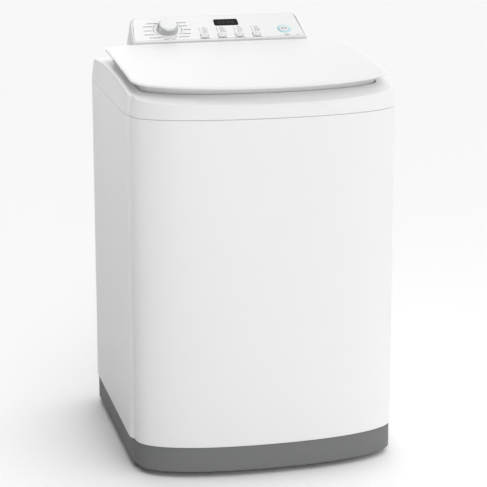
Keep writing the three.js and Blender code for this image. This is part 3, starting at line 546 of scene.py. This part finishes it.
# A box with its upright and its top edges eased by a small radius.
def slab(low, high, edge=0.6):
    (x0, y0, z0), (x1, y1, z1) = low, high
    turn = np.linspace(0, 2 * math.pi, 24, endpoint=False) + math.pi / 24
    cornerX, cornerY = np.sign(np.cos(turn)), np.sign(np.sin(turn))

    def loop(inset):
        x = (x0 + x1) / 2 + cornerX * ((x1 - x0) / 2 - edge) + (edge - inset) * np.cos(turn)
        y = (y0 + y1) / 2 + cornerY * ((y1 - y0) / 2 - edge) + (edge - inset) * np.sin(turn)
        return np.stack([x, y], 1)

    rings = [atHeight(loop(edge * 0.7), z0), atHeight(loop(0), z0 + edge), atHeight(loop(0), z1 - edge)]
    rings.append(atHeight(loop(edge * 0.7), z1))
    return shell(np.array(rings))


def makeHingePosts():
    shells = []
    for side in (-1, 1):
        left, right = sorted([side * hingePost["inner"], side * hingePost["outer"]])
        radius = hingePost["radius"]
        low = [left, hinge["y"] - radius, deck["ledge"] - 1]
        high = [right, hinge["y"] + radius, hinge["z"] - 4.6]
        shells.append(slab(low, high))
        shells.append(barrel(left, right, hinge["y"], hinge["z"], radius, hingePost["bore"]))
    return makePiece(
        "hingePosts", shells, finishes["whitePlastic"], "cabinet", ["top_cover"]
    )


# ---- lid
lid = {"half": 264, "front": -262, "shoulder": -154, "rear": 188, "corner": 42, "bow": lidBow}
lidPan = {"half": 243, "front": -238, "shoulder": -145, "rear": 170, "corner": 24, "bow": lidBow}
lidFlare = {**lidPan, "half": 252, "front": -252}  # the pan spreads to this under the lid
lidSheet = 3.5
lidKnuckle = {"inner": 214, "outer": 227, "top": 819.5}
striker = {"left": 198, "right": 201, "front": -70, "rear": -50, "low": 748, "high": 776}


def scaledPlan(plan, share):
    return outline(**{key: value if key == "bow" else value * share for key, value in plan.items()})


def makeLidPanel():
    shares = [0.02, 0.2, 0.4, 0.6, 0.78, 0.9]
    rings = [atHeight(scaledPlan(lid, share), lowered(lidHeight, lidSheet)) for share in shares]
    rings += [
        atHeight(outline(**grown(lid, -4)), lowered(lidHeight, lidSheet + 0.6)),
        atHeight(outline(**grown(lid, -0.6)), lowered(lidHeight, 5)),
        atHeight(outline(**lid), lowered(lidHeight, 3.4)),
        atHeight(outline(**grown(lid, -0.6)), lowered(lidHeight, 1.4)),
        atHeight(outline(**grown(lid, -5)), lowered(lidHeight, 0.1)),
    ]
    rings += [atHeight(scaledPlan(lid, share), lowered(lidHeight, 0)) for share in shares[::-1]]
    radii = [0] * 6 + [2.5, 0.8, 1.2, 1.2, 5] + [0] * 6
    shells = [shell(roundRings(rings, radii))]
    for side in (-1, 1):
        left, right = sorted([side * lidKnuckle["inner"], side * lidKnuckle["outer"]])
        radius = hingePost["radius"]
        low = [left, hinge["y"] - radius, hinge["z"] + 4.6]
        high = [right, hinge["y"] + radius, lidKnuckle["top"]]
        shells.append(slab(low, high))
        shells.append(barrel(left, right, hinge["y"], hinge["z"], radius, hingePost["bore"]))
    return makePiece("lidPanel", shells, finishes["lidPlastic"], "lid", ["lid_outer"])


def makeLidPan():
    floor = 774
    underside = lowered(lidHeight, lidSheet + 1.4)
    shares = [0.02, 0.3, 0.6, 0.85]
    rings = [atHeight(scaledPlan(lidPan, share), floor + 1.5 * (share < 0.7)) for share in shares]
    rings += [
        atHeight(outline(**grown(lidPan, -2.5)), floor),
        atHeight(outline(**lidPan), lowered(channelHeight, -1)),
        atHeight(outline(**lidFlare), underside),
        atHeight(outline(**{**lidFlare, "half": 249, "front": -249, "rear": 167}), underside),
        atHeight(outline(**grown(lidPan, -3.2)), lowered(channelHeight, -2)),
        atHeight(outline(**grown(lidPan, -5.5)), floor + 3),
    ]
    rings += [atHeight(scaledPlan(lidPan, share), floor + 3 + 1.5 * (share < 0.7)) for share in shares[::-1]]
    radii = [0, 0, 8, 0, 5, 9, 0.6, 0.6, 6, 2, 0, 8, 0, 0]
    shells = [shell(roundRings(rings, radii))]
    left, right, front, rear = striker["left"], striker["right"], striker["front"], striker["rear"]
    low, high = striker["low"], striker["high"]
    shells.append(slab([left, front, low], [right, front + 4, high]))
    shells.append(slab([left, rear - 4, low], [right, rear, high]))
    shells.append(slab([left, front + 3.5, low], [right, rear - 3.5, low + 3]))
    return makePiece("lidPan", shells, finishes["whitePlastic"], "lid", ["lid_inner"])


# ---- console
console = {
    "half": 200.5,
    "lean": 0.16,
    "foot": 789,
    "front": 202,
    "faceLow": 825.5,
    "faceHighY": 285,
    "faceHigh": 867.5,
}
faceRise = console["faceHigh"] - console["faceLow"]
console["angle"] = math.atan2(faceRise, console["faceHighY"] - console["front"])


# The plane of the sloping face.
def faceHeight(x, y):
    return console["faceLow"] + (y - console["front"]) * math.tan(console["angle"])


def consoleFoot(x, y):
    return rimHeight(x, np.minimum(y, 273)) + 0.9


# A four-sided plan with round corners, whose sides lean in by the console's lean as they rise.
def consoleRing(inset, height, lower=5, upper=14):
    half = console["half"] - inset
    front, rear = console["front"] + inset, body["rear"] - 1 - inset
    count = 9
    quarterX = np.repeat([1, -1, -1, 1], count)
    quarterY = np.repeat([1, 1, -1, -1], count)
    radius = np.maximum(np.where(quarterY > 0, upper, lower) - inset, 2)
    turn = np.tile(np.linspace(0, math.pi / 2, count), 4) + np.repeat(np.arange(4), count) * math.pi / 2
    x = quarterX * (half - radius) + radius * np.cos(turn)
    y = np.where(quarterY > 0, rear - radius, front + radius) + radius * np.sin(turn)
    z = height(x, y)
    return np.stack([x - quarterX * console["lean"] * (z - console["foot"]), y, z], 1)


def makeConsoleHousing():
    rings = [
        consoleRing(0, consoleFoot),
        consoleRing(0, lambda x, y: (consoleFoot(x, y) + faceHeight(x, y)) / 2),
        consoleRing(0, faceHeight),
        consoleRing(3.4, faceHeight),
        consoleRing(3.4, lowered(faceHeight, 3.9)),
        consoleRing(8, lowered(faceHeight, 3.9)),
        consoleRing(8, lowered(faceHeight, 9)),
        consoleRing(3, lowered(faceHeight, 9)),
        consoleRing(3, lowered(consoleFoot, -0.2)),
    ]
    radii = [0.4, 0, 3, 0.5, 0, 0.5, 0.5, 1, 0.4]
    shells = [shell(roundRings(rings, radii, closed=True), wrapRows=True)]
    return makePiece(
        "consoleHousing", shells, finishes["whitePlastic"], "cabinet", ["console_housing"]
    )


# From coordinates on the sloping face (across, up the slope, out of it) to the machine's own: a turn
# about x.
def onFace(points):
    angle = console["angle"]
    x, up, out = points[..., 0], points[..., 1], points[..., 2]
    y = console["front"] + up * math.cos(angle) - out * math.sin(angle)
    z = console["faceLow"] + up * math.sin(angle) + out * math.cos(angle)
    return np.stack([x, y, z], -1)


# A turned piece that stands on the sloping face; stretch makes its circle an oval.
def faceTurned(profile, radii, centre, segments=96, closed=False, stretch=(1, 1), steps=5):
    points, faces = turned(profile, radii, (0, 0), segments, closed, steps)
    points = points * [stretch[0], stretch[1], 1] + [centre[0], centre[1], 0]
    return onFace(points), faces


dial = {"centre": (-112, 43), "skirt": 23.6, "cap": 21}


def makeDial():
    skirt, cap = dial["skirt"], dial["cap"]
    profile = [[0, -10], [3.5, -10], [3.5, 1], [skirt - 0.5, 1], [skirt, 2.6]]
    profile += [[cap + 0.9, 12], [cap - 0.6, 12.6], [cap - 1, 10], [0, 10]]
    shells = [faceTurned(profile, [0, 0, 0.5, 0.4, 1.2, 0.8, 0.4, 0, 0], dial["centre"])]
    makePiece("dialSkirt", shells, finishes["knobSilver"], "dial", ["knob_skirt"])
    profile = [[0, 10.4], [cap - 1.3, 10.4], [cap - 1.3, 13.8], [cap - 3.5, 16], [cap * 0.5, 16.5], [0, 16.6]]
    shells = [faceTurned(profile, [0, 0, 1.2, 2.5, 4, 0], dial["centre"])]
    cx, cy = dial["centre"]
    nub = slab([cx - 1.4, cy + cap - 5, 12.8], [cx + 1.4, cy + cap + 0.6, 16.6])
    shells.append((onFace(nub[0]), nub[1]))
    makePiece("dialCap", shells, finishes["capWhite"], "dial", ["knob_cap"])


optionButtons = {
    "temperature": -34,
    "water_level": 5,
    "wash_option": 44,
    "spin_speed": 83,
}
optionRow = {"y": 16, "halfWidth": 8.6, "halfHeight": 8}


# A domed oval on a round stem.
def makeOptionButton(name):
    stretch = (1, optionRow["halfHeight"] / optionRow["halfWidth"])
    wide = optionRow["halfWidth"]
    profile = [[0, -9], [3, -9], [3, -4], [wide, -4], [wide, 1.2], [wide - 2, 1.8], [0, 2.0]]
    centre = (optionButtons[name], optionRow["y"])
    shells = [faceTurned(profile, [0, 0, 0, 0.3, 0.8, 1.5, 0], centre, 64, stretch=stretch)]
    node = f"{name}_button"
    return makePiece(f"{name}Button", shells, finishes["buttonWhite"], node, [node])


start = {"centre": (149, 31.5), "radius": 11.6, "ringInner": 12.1, "ringOuter": 14.6}


def makeStartButton():
    radius = start["radius"]
    profile = [[0, -9], [3, -9], [3, -4], [radius, -4], [radius, 1.2], [radius - 2, 1.7], [0, 1.2]]
    shells = [faceTurned(profile, [0, 0, 0, 0.3, 0.8, 2, 0], start["centre"])]
    white = finishes["buttonWhite"]
    makePiece("startButton", shells, white, "start_button", ["start_button"])
    inner, outer = start["ringInner"], start["ringOuter"]
    profile = [[inner, -1.2], [outer, -1.2], [outer, 0.5], [inner, 0.8]]
    shells = [faceTurned(profile, [0, 0, 0.5, 0.5], start["centre"], closed=True)]
    makePiece("startRing", shells, finishes["ringCyan"], "cabinet", ["start_ring"])


# Thin upright bars on the sloping face, each given as (x, up, width, height, lean in degrees).
def printedBars(bars, low, high):
    bars = np.array(bars, float)
    lean = np.radians(bars[:, 4])
    corner = np.array([[-0.5, -0.5], [0.5, -0.5], [0.5, 0.5], [-0.5, 0.5]])
    shells = []
    flat = corner[None] * bars[:, None, 2:4]
    x = bars[:, None, 0] + flat[..., 0] * np.cos(lean)[:, None] - flat[..., 1] * np.sin(lean)[:, None]
    y = bars[:, None, 1] + flat[..., 0] * np.sin(lean)[:, None] + flat[..., 1] * np.cos(lean)[:, None]
    for k in range(len(bars)):
        bottom = np.stack([x[k], y[k], np.full(4, low)], 1)
        top = np.stack([x[k], y[k], np.full(4, high)], 1)
        points, faces = shell(np.array([bottom, top]))
        shells.append((onFace(points), faces))
    return shells


# A plain stand-in for a printed word: two or three short bars in a row.
def wordBars(random, x, y, width, height, align="left"):
    count = 2 if width < 9 else 3
    gaps = 0.9 * (count - 1)
    shares = random.uniform(0.7, 1.3, count)
    widths = shares / shares.sum() * (width - gaps)
    left = x if align == "left" else x - width if align == "right" else x - width / 2
    bars = []
    for w in widths:
        bars.append((left + w / 2, y, w, height, 0))
        left += w + 0.9
    return bars


# Each programme's word beside the dial: how far across and up from the dial's centre, and how wide.
dialWords = [
    (-32, 24.5, 21),
    (-42.5, 13, 20),
    (-44, -2.5, 16),
    (-43, -17.5, 21),
    (-32, -29.5, 25),
    (-8, -36, 10),
    (8, -36, 9),
    (32, -29, 23),
    (40.5, -17.5, 17),
    (44, -2, 16),
    (38.5, 12.5, 14),
    (35, 24.5, 21),
]
ink = 0.12  # how far printed marks stand off the face
dialMarks = {"tick": 31.5, "line": 31.2, "first": 128, "step": 28.5, "count": 11}


# A thin line along an arc about the dial, from one angle to another.
def dialArc(first, last, width):
    cx, cy = dial["centre"]
    turn = np.radians(np.linspace(first, last, 30))
    radius = dialMarks["line"]
    loops = []
    for r, out in ((radius, 0.0), (radius + width, 0.0), (radius + width, ink), (radius, ink)):
        loops.append(np.stack([cx + r * np.cos(turn), cy + r * np.sin(turn), np.full(30, out)], 1))
    points, faces = shell(np.array(loops), wrapRows=True, wrapColumns=False)
    return onFace(points), faces


# A flat oval line round a button, drawn as a ring between two ovals.
def ovalLine(x, y, halfWidth, halfHeight, width):
    outer = 1 + width / halfWidth
    points, faces = turned([[1, 0], [outer, 0], [outer, ink], [1, ink]], segments=48)
    points = points * [halfWidth, halfHeight, 1] + [x, y, 0]
    return onFace(points), faces


def makeFaceMarks():
    random = np.random.default_rng(7)
    cx, cy = dial["centre"]
    dark, pale = [], []
    for x, y, width in dialWords:
        dark += wordBars(random, cx + x, cy + y, width, 1.9, "centre")
    for k in range(dialMarks["count"]):
        angle = dialMarks["first"] + k * dialMarks["step"]
        x = cx + dialMarks["tick"] * math.cos(math.radians(angle))
        y = cy + dialMarks["tick"] * math.sin(math.radians(angle))
        dark.append((x, y, 3.0, 1.5, angle))
    for x in optionButtons.values():
        for row in range(5):
            y = optionRow["y"] + 11.5 + row * 4.3
            pale.append((x - 7, y, 1.7, 1.7, 45))
            pale += wordBars(random, x - 1, y, random.uniform(8, 14), 1.5)
        dark += wordBars(random, x, optionRow["y"] - 10.4, 21, 1.7, "centre")
    sx, sy = start["centre"]
    dark += wordBars(random, sx + 2, sy - 21.5, 12, 1.7, "centre")
    dark += wordBars(random, sx + 2, sy - 25, 9, 1.4, "centre")
    pale += wordBars(random, sx + 27, sy - 23.5, 10, 1.4, "centre")
    makePiece("faceMarks", printedBars(dark, 0.0, ink), finishes["printGrey"], "cabinet")
    makePiece("faceMarksPale", printedBars(pale, 0.0, ink), finishes["printPale"], "cabinet")
    lines = [dialArc(126, 214, 0.9), dialArc(-34, 28, 0.9), dialArc(238, 302, 0.5)]
    halfWidth, halfHeight = optionRow["halfWidth"] + 0.5, optionRow["halfHeight"] + 0.5
    for x in optionButtons.values():
        lines.append(ovalLine(x, optionRow["y"], halfWidth, halfHeight, 0.7))
    makePiece("faceLines", lines, finishes["printPale"], "cabinet")


# A small mark on each button: a dot and a bar, and on the start button a lying V, closed by an upright
# bar, with two bars beside it.
def makeButtonMarks():
    grey = finishes["printGrey"]
    for name, x in optionButtons.items():
        bars = [(x - 2.2, optionRow["y"], 1.4, 1.4, 45), (x + 1.4, optionRow["y"], 2.6, 1.0, 0)]
        makePiece(f"{name}Mark", printedBars(bars, 1.7, 2.08), grey, f"{name}_button")
    sx, sy = start["centre"]
    bars = [(sx + 2.2, sy, 1.1, 5, 0), (sx + 4.6, sy, 1.1, 5, 0), (sx - 5.3, sy, 0.9, 5, 0)]
    bars += [(sx - 3.2, sy + 1.25, 5, 0.9, -31), (sx - 3.2, sy - 1.25, 5, 0.9, 31)]
    makePiece("startMark", printedBars(bars, 1.2, 1.75), grey, "start_button")


# Unlit figure segments on the window: four figures of seven bars, and two dots between them.
def makeDisplayDigits():
    low, high = 0.36, 0.46
    middle = 63.5
    bars = []
    for x in (8, 17, 29, 38):
        for dx, dy, w, h in ((0, 4.5, 3.6, 0.9), (0, 0, 3.6, 0.9), (0, -4.5, 3.6, 0.9)):
            bars.append((x + dx, middle + dy, w, h, 0))
        for dx, dy in ((-2.4, 2.25), (2.4, 2.25), (-2.4, -2.25), (2.4, -2.25)):
            bars.append((x + dx, middle + dy, 0.9, 3.4, 0))
    bars += [(23, middle + 2, 1, 1, 0), (23, middle - 2, 1, 1, 0)]
    segments = printedBars(bars, low, high)
    return makePiece("displayDigits", segments, finishes["segmentGrey"], "cabinet")


# ---- tub, basket and agitator
def makeTubRings():
    centre = tubAxis[:2]
    low, high = boxOf("tub_ring")
    radius = high[0]
    top = high[2]
    profile = [
        [208, top - 3],
        [radius - 2.6, top - 7.6],
        [radius - 2.6, low[2]],
        [radius, low[2]],
        [radius, top - 5],
        [208, top],
    ]
    shells = [turned(profile, [1, 1, 0.5, 0.5, 3, 1.2], centre, 144)]
    makePiece("tubRim", shells, finishes["ringPlastic"], "tub", ["tub_ring"])
    low, high = boxOf("balance_ring")
    base, top = low[2], high[2]
    profile = [[204, base], [high[0], base], [high[0], top - 6], [227, top], [211, top], [204, top - 6]]
    shells = [turned(profile, [1.5, 1.5, 4, 4, 4, 4], centre, 144)]
    makePiece("balanceRing", shells, finishes["ringPlastic"], "basket", ["balance_ring"])


basketLook = {"pitch": 9.0, "holeShare": 0.17, "ribs": 12, "depth": 1.6}


# A drum with shallow upright flutes: the radius falls by up to depth, as a cosine round the drum with
# one wave for each rib, and fades out by the square root of a sine towards the ends of the wall.
def makeBasket():
    centre = tubAxis[:2]
    radius, low, top = basketHigh[0], basketLow[2], basketHigh[2]
    profile = [[13, low], [radius - 4, low], [radius, low + 4], [radius, top], [radius - 2, top]]
    profile = np.array(profile, float)
    inner = np.array([[radius - 2, low + 5], [radius - 5, low + 2], [13, low + 2]], float)
    wall = np.linspace(low + 10, top - 6, 40)
    outerWall = np.stack([np.full(40, radius), wall], 1)
    innerWall = outerWall[::-1] - [2, 0]
    path = np.concatenate([profile[:3], outerWall, profile[3:], innerWall, inner])
    segments = 288
    turn = np.linspace(0, 2 * math.pi, segments, endpoint=False)
    heightShare = np.clip((path[:, 1] - low) / (top - low), 0, 1)[:, None]
    isWall = (path[:, 0] > radius - 6)[:, None]
    wave = 0.5 + 0.5 * np.cos(basketLook["ribs"] * turn)
    flute = -basketLook["depth"] * np.sin(math.pi * heightShare) ** 0.5 * wave * isWall
    r = path[:, :1] + flute
    x, y = centre[0] + r * np.cos(turn), centre[1] + r * np.sin(turn)
    points = np.stack([x, y, np.broadcast_to(path[:, 1:], x.shape)], -1)
    piece = makePiece(
        "basketDrum", [shell(points, wrapRows=True)], finishes["steel"], "basket", ["basket"]
    )
    mesh = piece.data
    mesh.materials[0] = perforatedSteel(basketLook)
    spots = np.empty(len(mesh.vertices) * 3)
    mesh.vertices.foreach_get("co", spots)
    spots = spots.reshape(-1, 3) / mm - [centre[0], centre[1], 0]
    corners = np.empty(len(mesh.loops), int)
    mesh.loops.foreach_get("vertex_index", corners)
    around = np.arctan2(spots[:, 1], spots[:, 0])
    count = round(2 * math.pi * radius / basketLook["pitch"])  # a whole number of pitches closes the pattern
    flatRadius = np.hypot(spots[:, 0], spots[:, 1])
    v = spots[:, 2] + np.where(spots[:, 2] < low + 3, flatRadius - radius, 0)
    u, v = around[corners] / (2 * math.pi) * count, v[corners] / basketLook["pitch"]
    faceOf = np.repeat(np.arange(len(mesh.polygons)), [p.loop_total for p in mesh.polygons])
    highest = np.full(len(mesh.polygons), -1e9)
    np.maximum.at(highest, faceOf, u)
    u = np.where(highest[faceOf] - u > count / 2, u + count, u)  # faces across the seam keep one sheet of u
    layout = mesh.uv_layers.new(name="pitch")
    layout.data.foreach_set("uv", np.stack([u, v], 1).ravel())
    return piece


agitatorShape = {
    "column": [
        [10.5, 293],
        [152, 293],
        [154, 296],
        [140, 301],
        [96, 312],
        [66, 332],
        [52, 362],
        [47, 410],
        [40, 500],
        [36, 575],
        [24.6, 575],
        [24.6, 545],
        [10.5, 545],
    ],
    "fin": [[38, 300], [146, 296], [149, 305], [142, 322], [104, 352], [74, 402], [60, 468], [38, 480]],
    "rib": [[34, 486], [52, 494], [49, 566], [34, 572]],
}


# A flat fin: its outline of [radius, height] points, eased, made thickness wide and turned about the
# axis.
def upright(profile, radii, thickness, turn, centre):
    path = roundRings(np.array(profile, float)[:, None, :], radii, closed=True, steps=6)[:, 0, :]
    rings = []
    for side, inset in ((-1, 0.9), (-0.8, 0.0), (0.8, 0.0), (1, 0.9)):
        middle = path.mean(axis=0)
        away = path - middle
        shrunk = path - away / np.linalg.norm(away, axis=1, keepdims=True) * inset
        along = np.full(len(path), side * thickness / 2)
        x = centre[0] + shrunk[:, 0] * math.cos(turn) - along * math.sin(turn)
        y = centre[1] + shrunk[:, 0] * math.sin(turn) + along * math.cos(turn)
        rings.append(np.stack([x, y, shrunk[:, 1]], 1))
    return shell(np.array(rings))


def makeAgitator():
    centre = tubAxis[:2]
    column = agitatorShape["column"]
    shells = [turned(column, [0.5, 0.5, 1, 8, 14, 14, 14, 25, 25, 2, 1, 0.5, 0.5], centre, 128, steps=6)]
    for k in range(4):
        angle = math.pi / 2 * k + 0.3
        shells.append(upright(agitatorShape["fin"], [0, 0, 4, 8, 12, 20, 10, 0], 6.6, angle, centre))
        shells.append(upright(agitatorShape["rib"], [0, 5, 5, 0], 4.6, angle + math.pi / 4, centre))
    makePiece("agitatorBody", shells, finishes["agitatorPlastic"], "agitator", ["agitator"])
    cup = [[6, 552], [24, 552], [24, 577], [38, 582], [41, 628]]
    cup += [[39, 628], [36, 585], [22, 580], [22, 555], [6, 555]]
    shells = [turned(cup, [0.5, 1, 1, 3, 0.9, 0.9, 3, 1, 1, 0.5], centre, 96)]
    makePiece("softenerCup", shells, finishes["softBlue"], "softener_cup", ["softener_cup"])
    ring = [[42, 576], [46, 576], [53, 622], [51, 622], [44.5, 579], [42, 579]]
    shells = [turned(ring, [0.5, 1.5, 0.9, 0.9, 1, 0.5], centre, 96)]
    makePiece("lintBasket", shells, finishes["softBlue"], "lint_filter", ["lint_filter"])


# ---- rear fixings
# Domed heads with a dimple, up both edges and along the foot of the rear panel.
def makeRearScrews():
    low, high = boxOf("rear_panel")
    face = body["rear"] - body["sheet"] - 0.4
    xs = [low[0] + 8, high[0] - 8]
    places = [(x, z) for x in xs for z in np.linspace(low[2] + 14, high[2] - 14, 5)]
    places += [(x, z) for x in (-110, 0, 110) for z in (low[2] + 14,)]
    shells = []
    for x, z in places:
        turn = np.linspace(0, 2 * math.pi, 24, endpoint=False)
        profile = np.array([[0.0, 0.0], [4.0, 0.0], [3.8, 0.8], [2.6, 1.6], [1.0, 1.9], [0.0, 1.2]])
        points = np.stack(
            [
                x + profile[:, :1] * np.cos(turn),
                face + np.broadcast_to(profile[:, 1:], (6, 24)),
                z + profile[:, :1] * np.sin(turn),
            ],
            -1,
        )
        shells.append(shell(points))
    return makePiece("rearScrews", shells, finishes["steel"], "cabinet")


# ---- the CAD nodes that stay
nodeFinishes = {
    "rear_panel": "zinc",
    "hinge_pin_left": "steel",
    "hinge_pin_right": "steel",
    "lid_lock": "greyPlastic",
    "lock_bolt": "steel",
    "console_fascia": "fasciaWhite",
    "display_window": "displayBlack",
    "control_board": "boardGreen",
    "inlet_valve_hot": "valveRed",
    "inlet_valve_cold": "valveBlue",
    "cord_gland": "rubber",
    "drain_outlet": "greyPlastic",
    "tub": "tubPlastic",
    "mount_plate": "zinc",
    "gearcase": "castMetal",
    "motor": "castMetal",
    "drain_pump": "greyPlastic",
    "belt": "rubber",
    "drive_pulley": "castMetal",
    "motor_pulley": "steel",
    "spin_tube": "steel",
    "agitator_shaft": "steel",
}
for where in ("front_left", "front_right", "rear_left", "rear_right"):
    nodeFinishes[f"suspension_rod_{where}"] = "steel"
    nodeFinishes[f"rod_bracket_{where}"] = "zinc"
flatNodes = ["rear_panel", "console_fascia", "display_window", "lid_lock", "mount_plate"]


# Gives a CAD node its finish, and welds a round one so that its facets shade smooth.
def finishNode(name):
    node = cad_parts[name]
    material = finishes[nodeFinishes[name]]
    if node.data.materials:
        for each in node.material_slots:
            each.material = material
    else:
        node.data.materials.append(material)
    if name in flatNodes:
        return
    node.data.polygons.foreach_set("use_smooth", [True] * len(node.data.polygons))
    weld = node.modifiers.new("weld", "WELD")
    weld.merge_threshold = 2e-6
    split = node.modifiers.new("edges", "EDGE_SPLIT")
    split.split_angle = math.radians(edgeAngle)


# A coil between the rod's end cup and the tub's lug: a round wire carried along a helix, with flat end
# turns.
def makeSpring(where):
    low, high = boxOf(f"suspension_spring_{where}")
    centre = (low + high) / 2
    wire, turns = 1.8, 7.0
    coil = 9.0
    t = np.linspace(0, 1, int(turns * 28))
    turn = 2 * math.pi * turns * t
    rise = np.clip((t * turns - 0.8) / (turns - 1.6), 0, 1)
    z = low[2] + wire + (high[2] - low[2] - 2 * wire) * rise
    path = np.stack([centre[0] + coil * np.cos(turn), centre[1] + coil * np.sin(turn), z], 1)
    outward = np.stack([np.cos(turn), np.sin(turn), np.zeros(len(t))], 1)
    around = np.linspace(0, 2 * math.pi, 10, endpoint=False)
    aside = outward[:, None, :] * np.cos(around)[None, :, None]
    above = np.array([0, 0, 1.0]) * np.sin(around)[None, :, None]
    rings = path[:, None, :] + wire * (aside + above)
    node = f"suspension_spring_{where}"
    piece = makePiece(f"spring_{where}", [shell(rings)], finishes["steel"], "cabinet", [node], 60)
    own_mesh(piece)
    return piece


makeCabinet()
makePlinth()
for where in ("front_left", "front_right", "rear_left", "rear_right"):
    makeFoot(where)
    makeSpring(where)
makeTopCover()
makeHingePosts()
makeLidPanel()
makeLidPan()
print("cabinet, cover and lid made")
makeConsoleHousing()
makeDial()
for name in optionButtons:
    makeOptionButton(name)
makeStartButton()
makeFaceMarks()
makeButtonMarks()
makeDisplayDigits()
print("console made")
makeTubRings()
makeBasket()
makeAgitator()
makeRearScrews()
for name in nodeFinishes:
    finishNode(name)
print("drum and drive made")


# ---- floor, light and camera
studio = {
    "floor": 40.0,
    "strength": 1.73,
    # each: share of the way from -X to +X, and how bright
    "sides": [(0.0, 0.0), (0.3, 0.0), (0.5, 1.0), (1.0, 0.62)],
    # each: name, place, target, side and power
    "lamps": [
        ("flank", (-1.0, 0.05, 1.35), (-0.28, 0.05, 0.85), 0.5, 3.3),
        ("front", (-1.3, -4.1, 1.3), (0, -0.2, 0.5), 1.8, 26.0),
    ],
}


# An even white surround that is dimmer to the left, so that the flank falls a tone below the front.
def makeSurround():
    world = bpy.data.worlds.new("studio")
    world.use_nodes = True
    nodes, links = world.node_tree.nodes, world.node_tree.links
    direction = nodes.new("ShaderNodeTexCoord")
    parts = nodes.new("ShaderNodeSeparateXYZ")
    links.new(direction.outputs["Generated"], parts.inputs[0])
    share = nodes.new("ShaderNodeMapRange")
    share.inputs["From Min"].default_value = -1
    links.new(parts.outputs["X"], share.inputs["Value"])
    ramp = nodes.new("ShaderNodeValToRGB")
    ramp.color_ramp.interpolation = "EASE"
    for place, _ in studio["sides"][1:-1]:
        ramp.color_ramp.elements.new(place)
    for element, (place, tone) in zip(ramp.color_ramp.elements, studio["sides"]):
        element.position = place
        element.color = (tone, tone, tone, 1)
    links.new(share.outputs["Result"], ramp.inputs["Fac"])
    background = nodes["Background"]
    background.inputs["Strength"].default_value = studio["strength"]
    links.new(ramp.outputs["Color"], background.inputs["Color"])
    bpy.context.scene.world = world


def makeStudio():
    size = studio["floor"]
    mesh = bpy.data.meshes.new("floor")
    corners = [(-size, -size, 0), (size, -size, 0), (size, size, 0), (-size, size, 0)]
    mesh.from_pydata(corners, [], [(0, 1, 2, 3)])
    mesh.materials.append(makeMaterial("paleFloor", (0.97, 0.97, 0.97), 0.8, specular=0.2))
    floor = bpy.data.objects.new("floor", mesh)
    bpy.context.scene.collection.objects.link(floor)
    for name, place, target, side, power in studio["lamps"]:
        lamp = bpy.data.lights.new(name, "AREA")
        lamp.energy = power
        lamp.size = side
        holder = bpy.data.objects.new(name, lamp)
        holder.location = place
        aim = np.array(target) - place
        flat = math.hypot(aim[0], aim[1])
        holder.rotation_euler = (math.atan2(flat, -aim[2]), 0, math.atan2(-aim[0], aim[1]))
        bpy.context.scene.collection.objects.link(holder)
    bpy.context.scene.view_settings.view_transform = "Standard"


camera = {
    "place": (-0.9073, -3.9343, 1.4685),
    "turn": 0.2401,
    "dip": 0.2229,
    "lens": 144.2,
    "shift": (-0.05, -0.13),
}


def makeCamera():
    lens = bpy.data.cameras.new("camera")
    lens.lens = camera["lens"]
    lens.sensor_width = 36
    lens.shift_x, lens.shift_y = camera["shift"]
    holder = bpy.data.objects.new("camera", lens)
    holder.location = camera["place"]
    holder.rotation_euler = (math.pi / 2 - camera["dip"], 0, -camera["turn"])
    bpy.context.scene.collection.objects.link(holder)
    bpy.context.scene.camera = holder


makeSurround()
makeStudio()
makeCamera()
print("studio made")
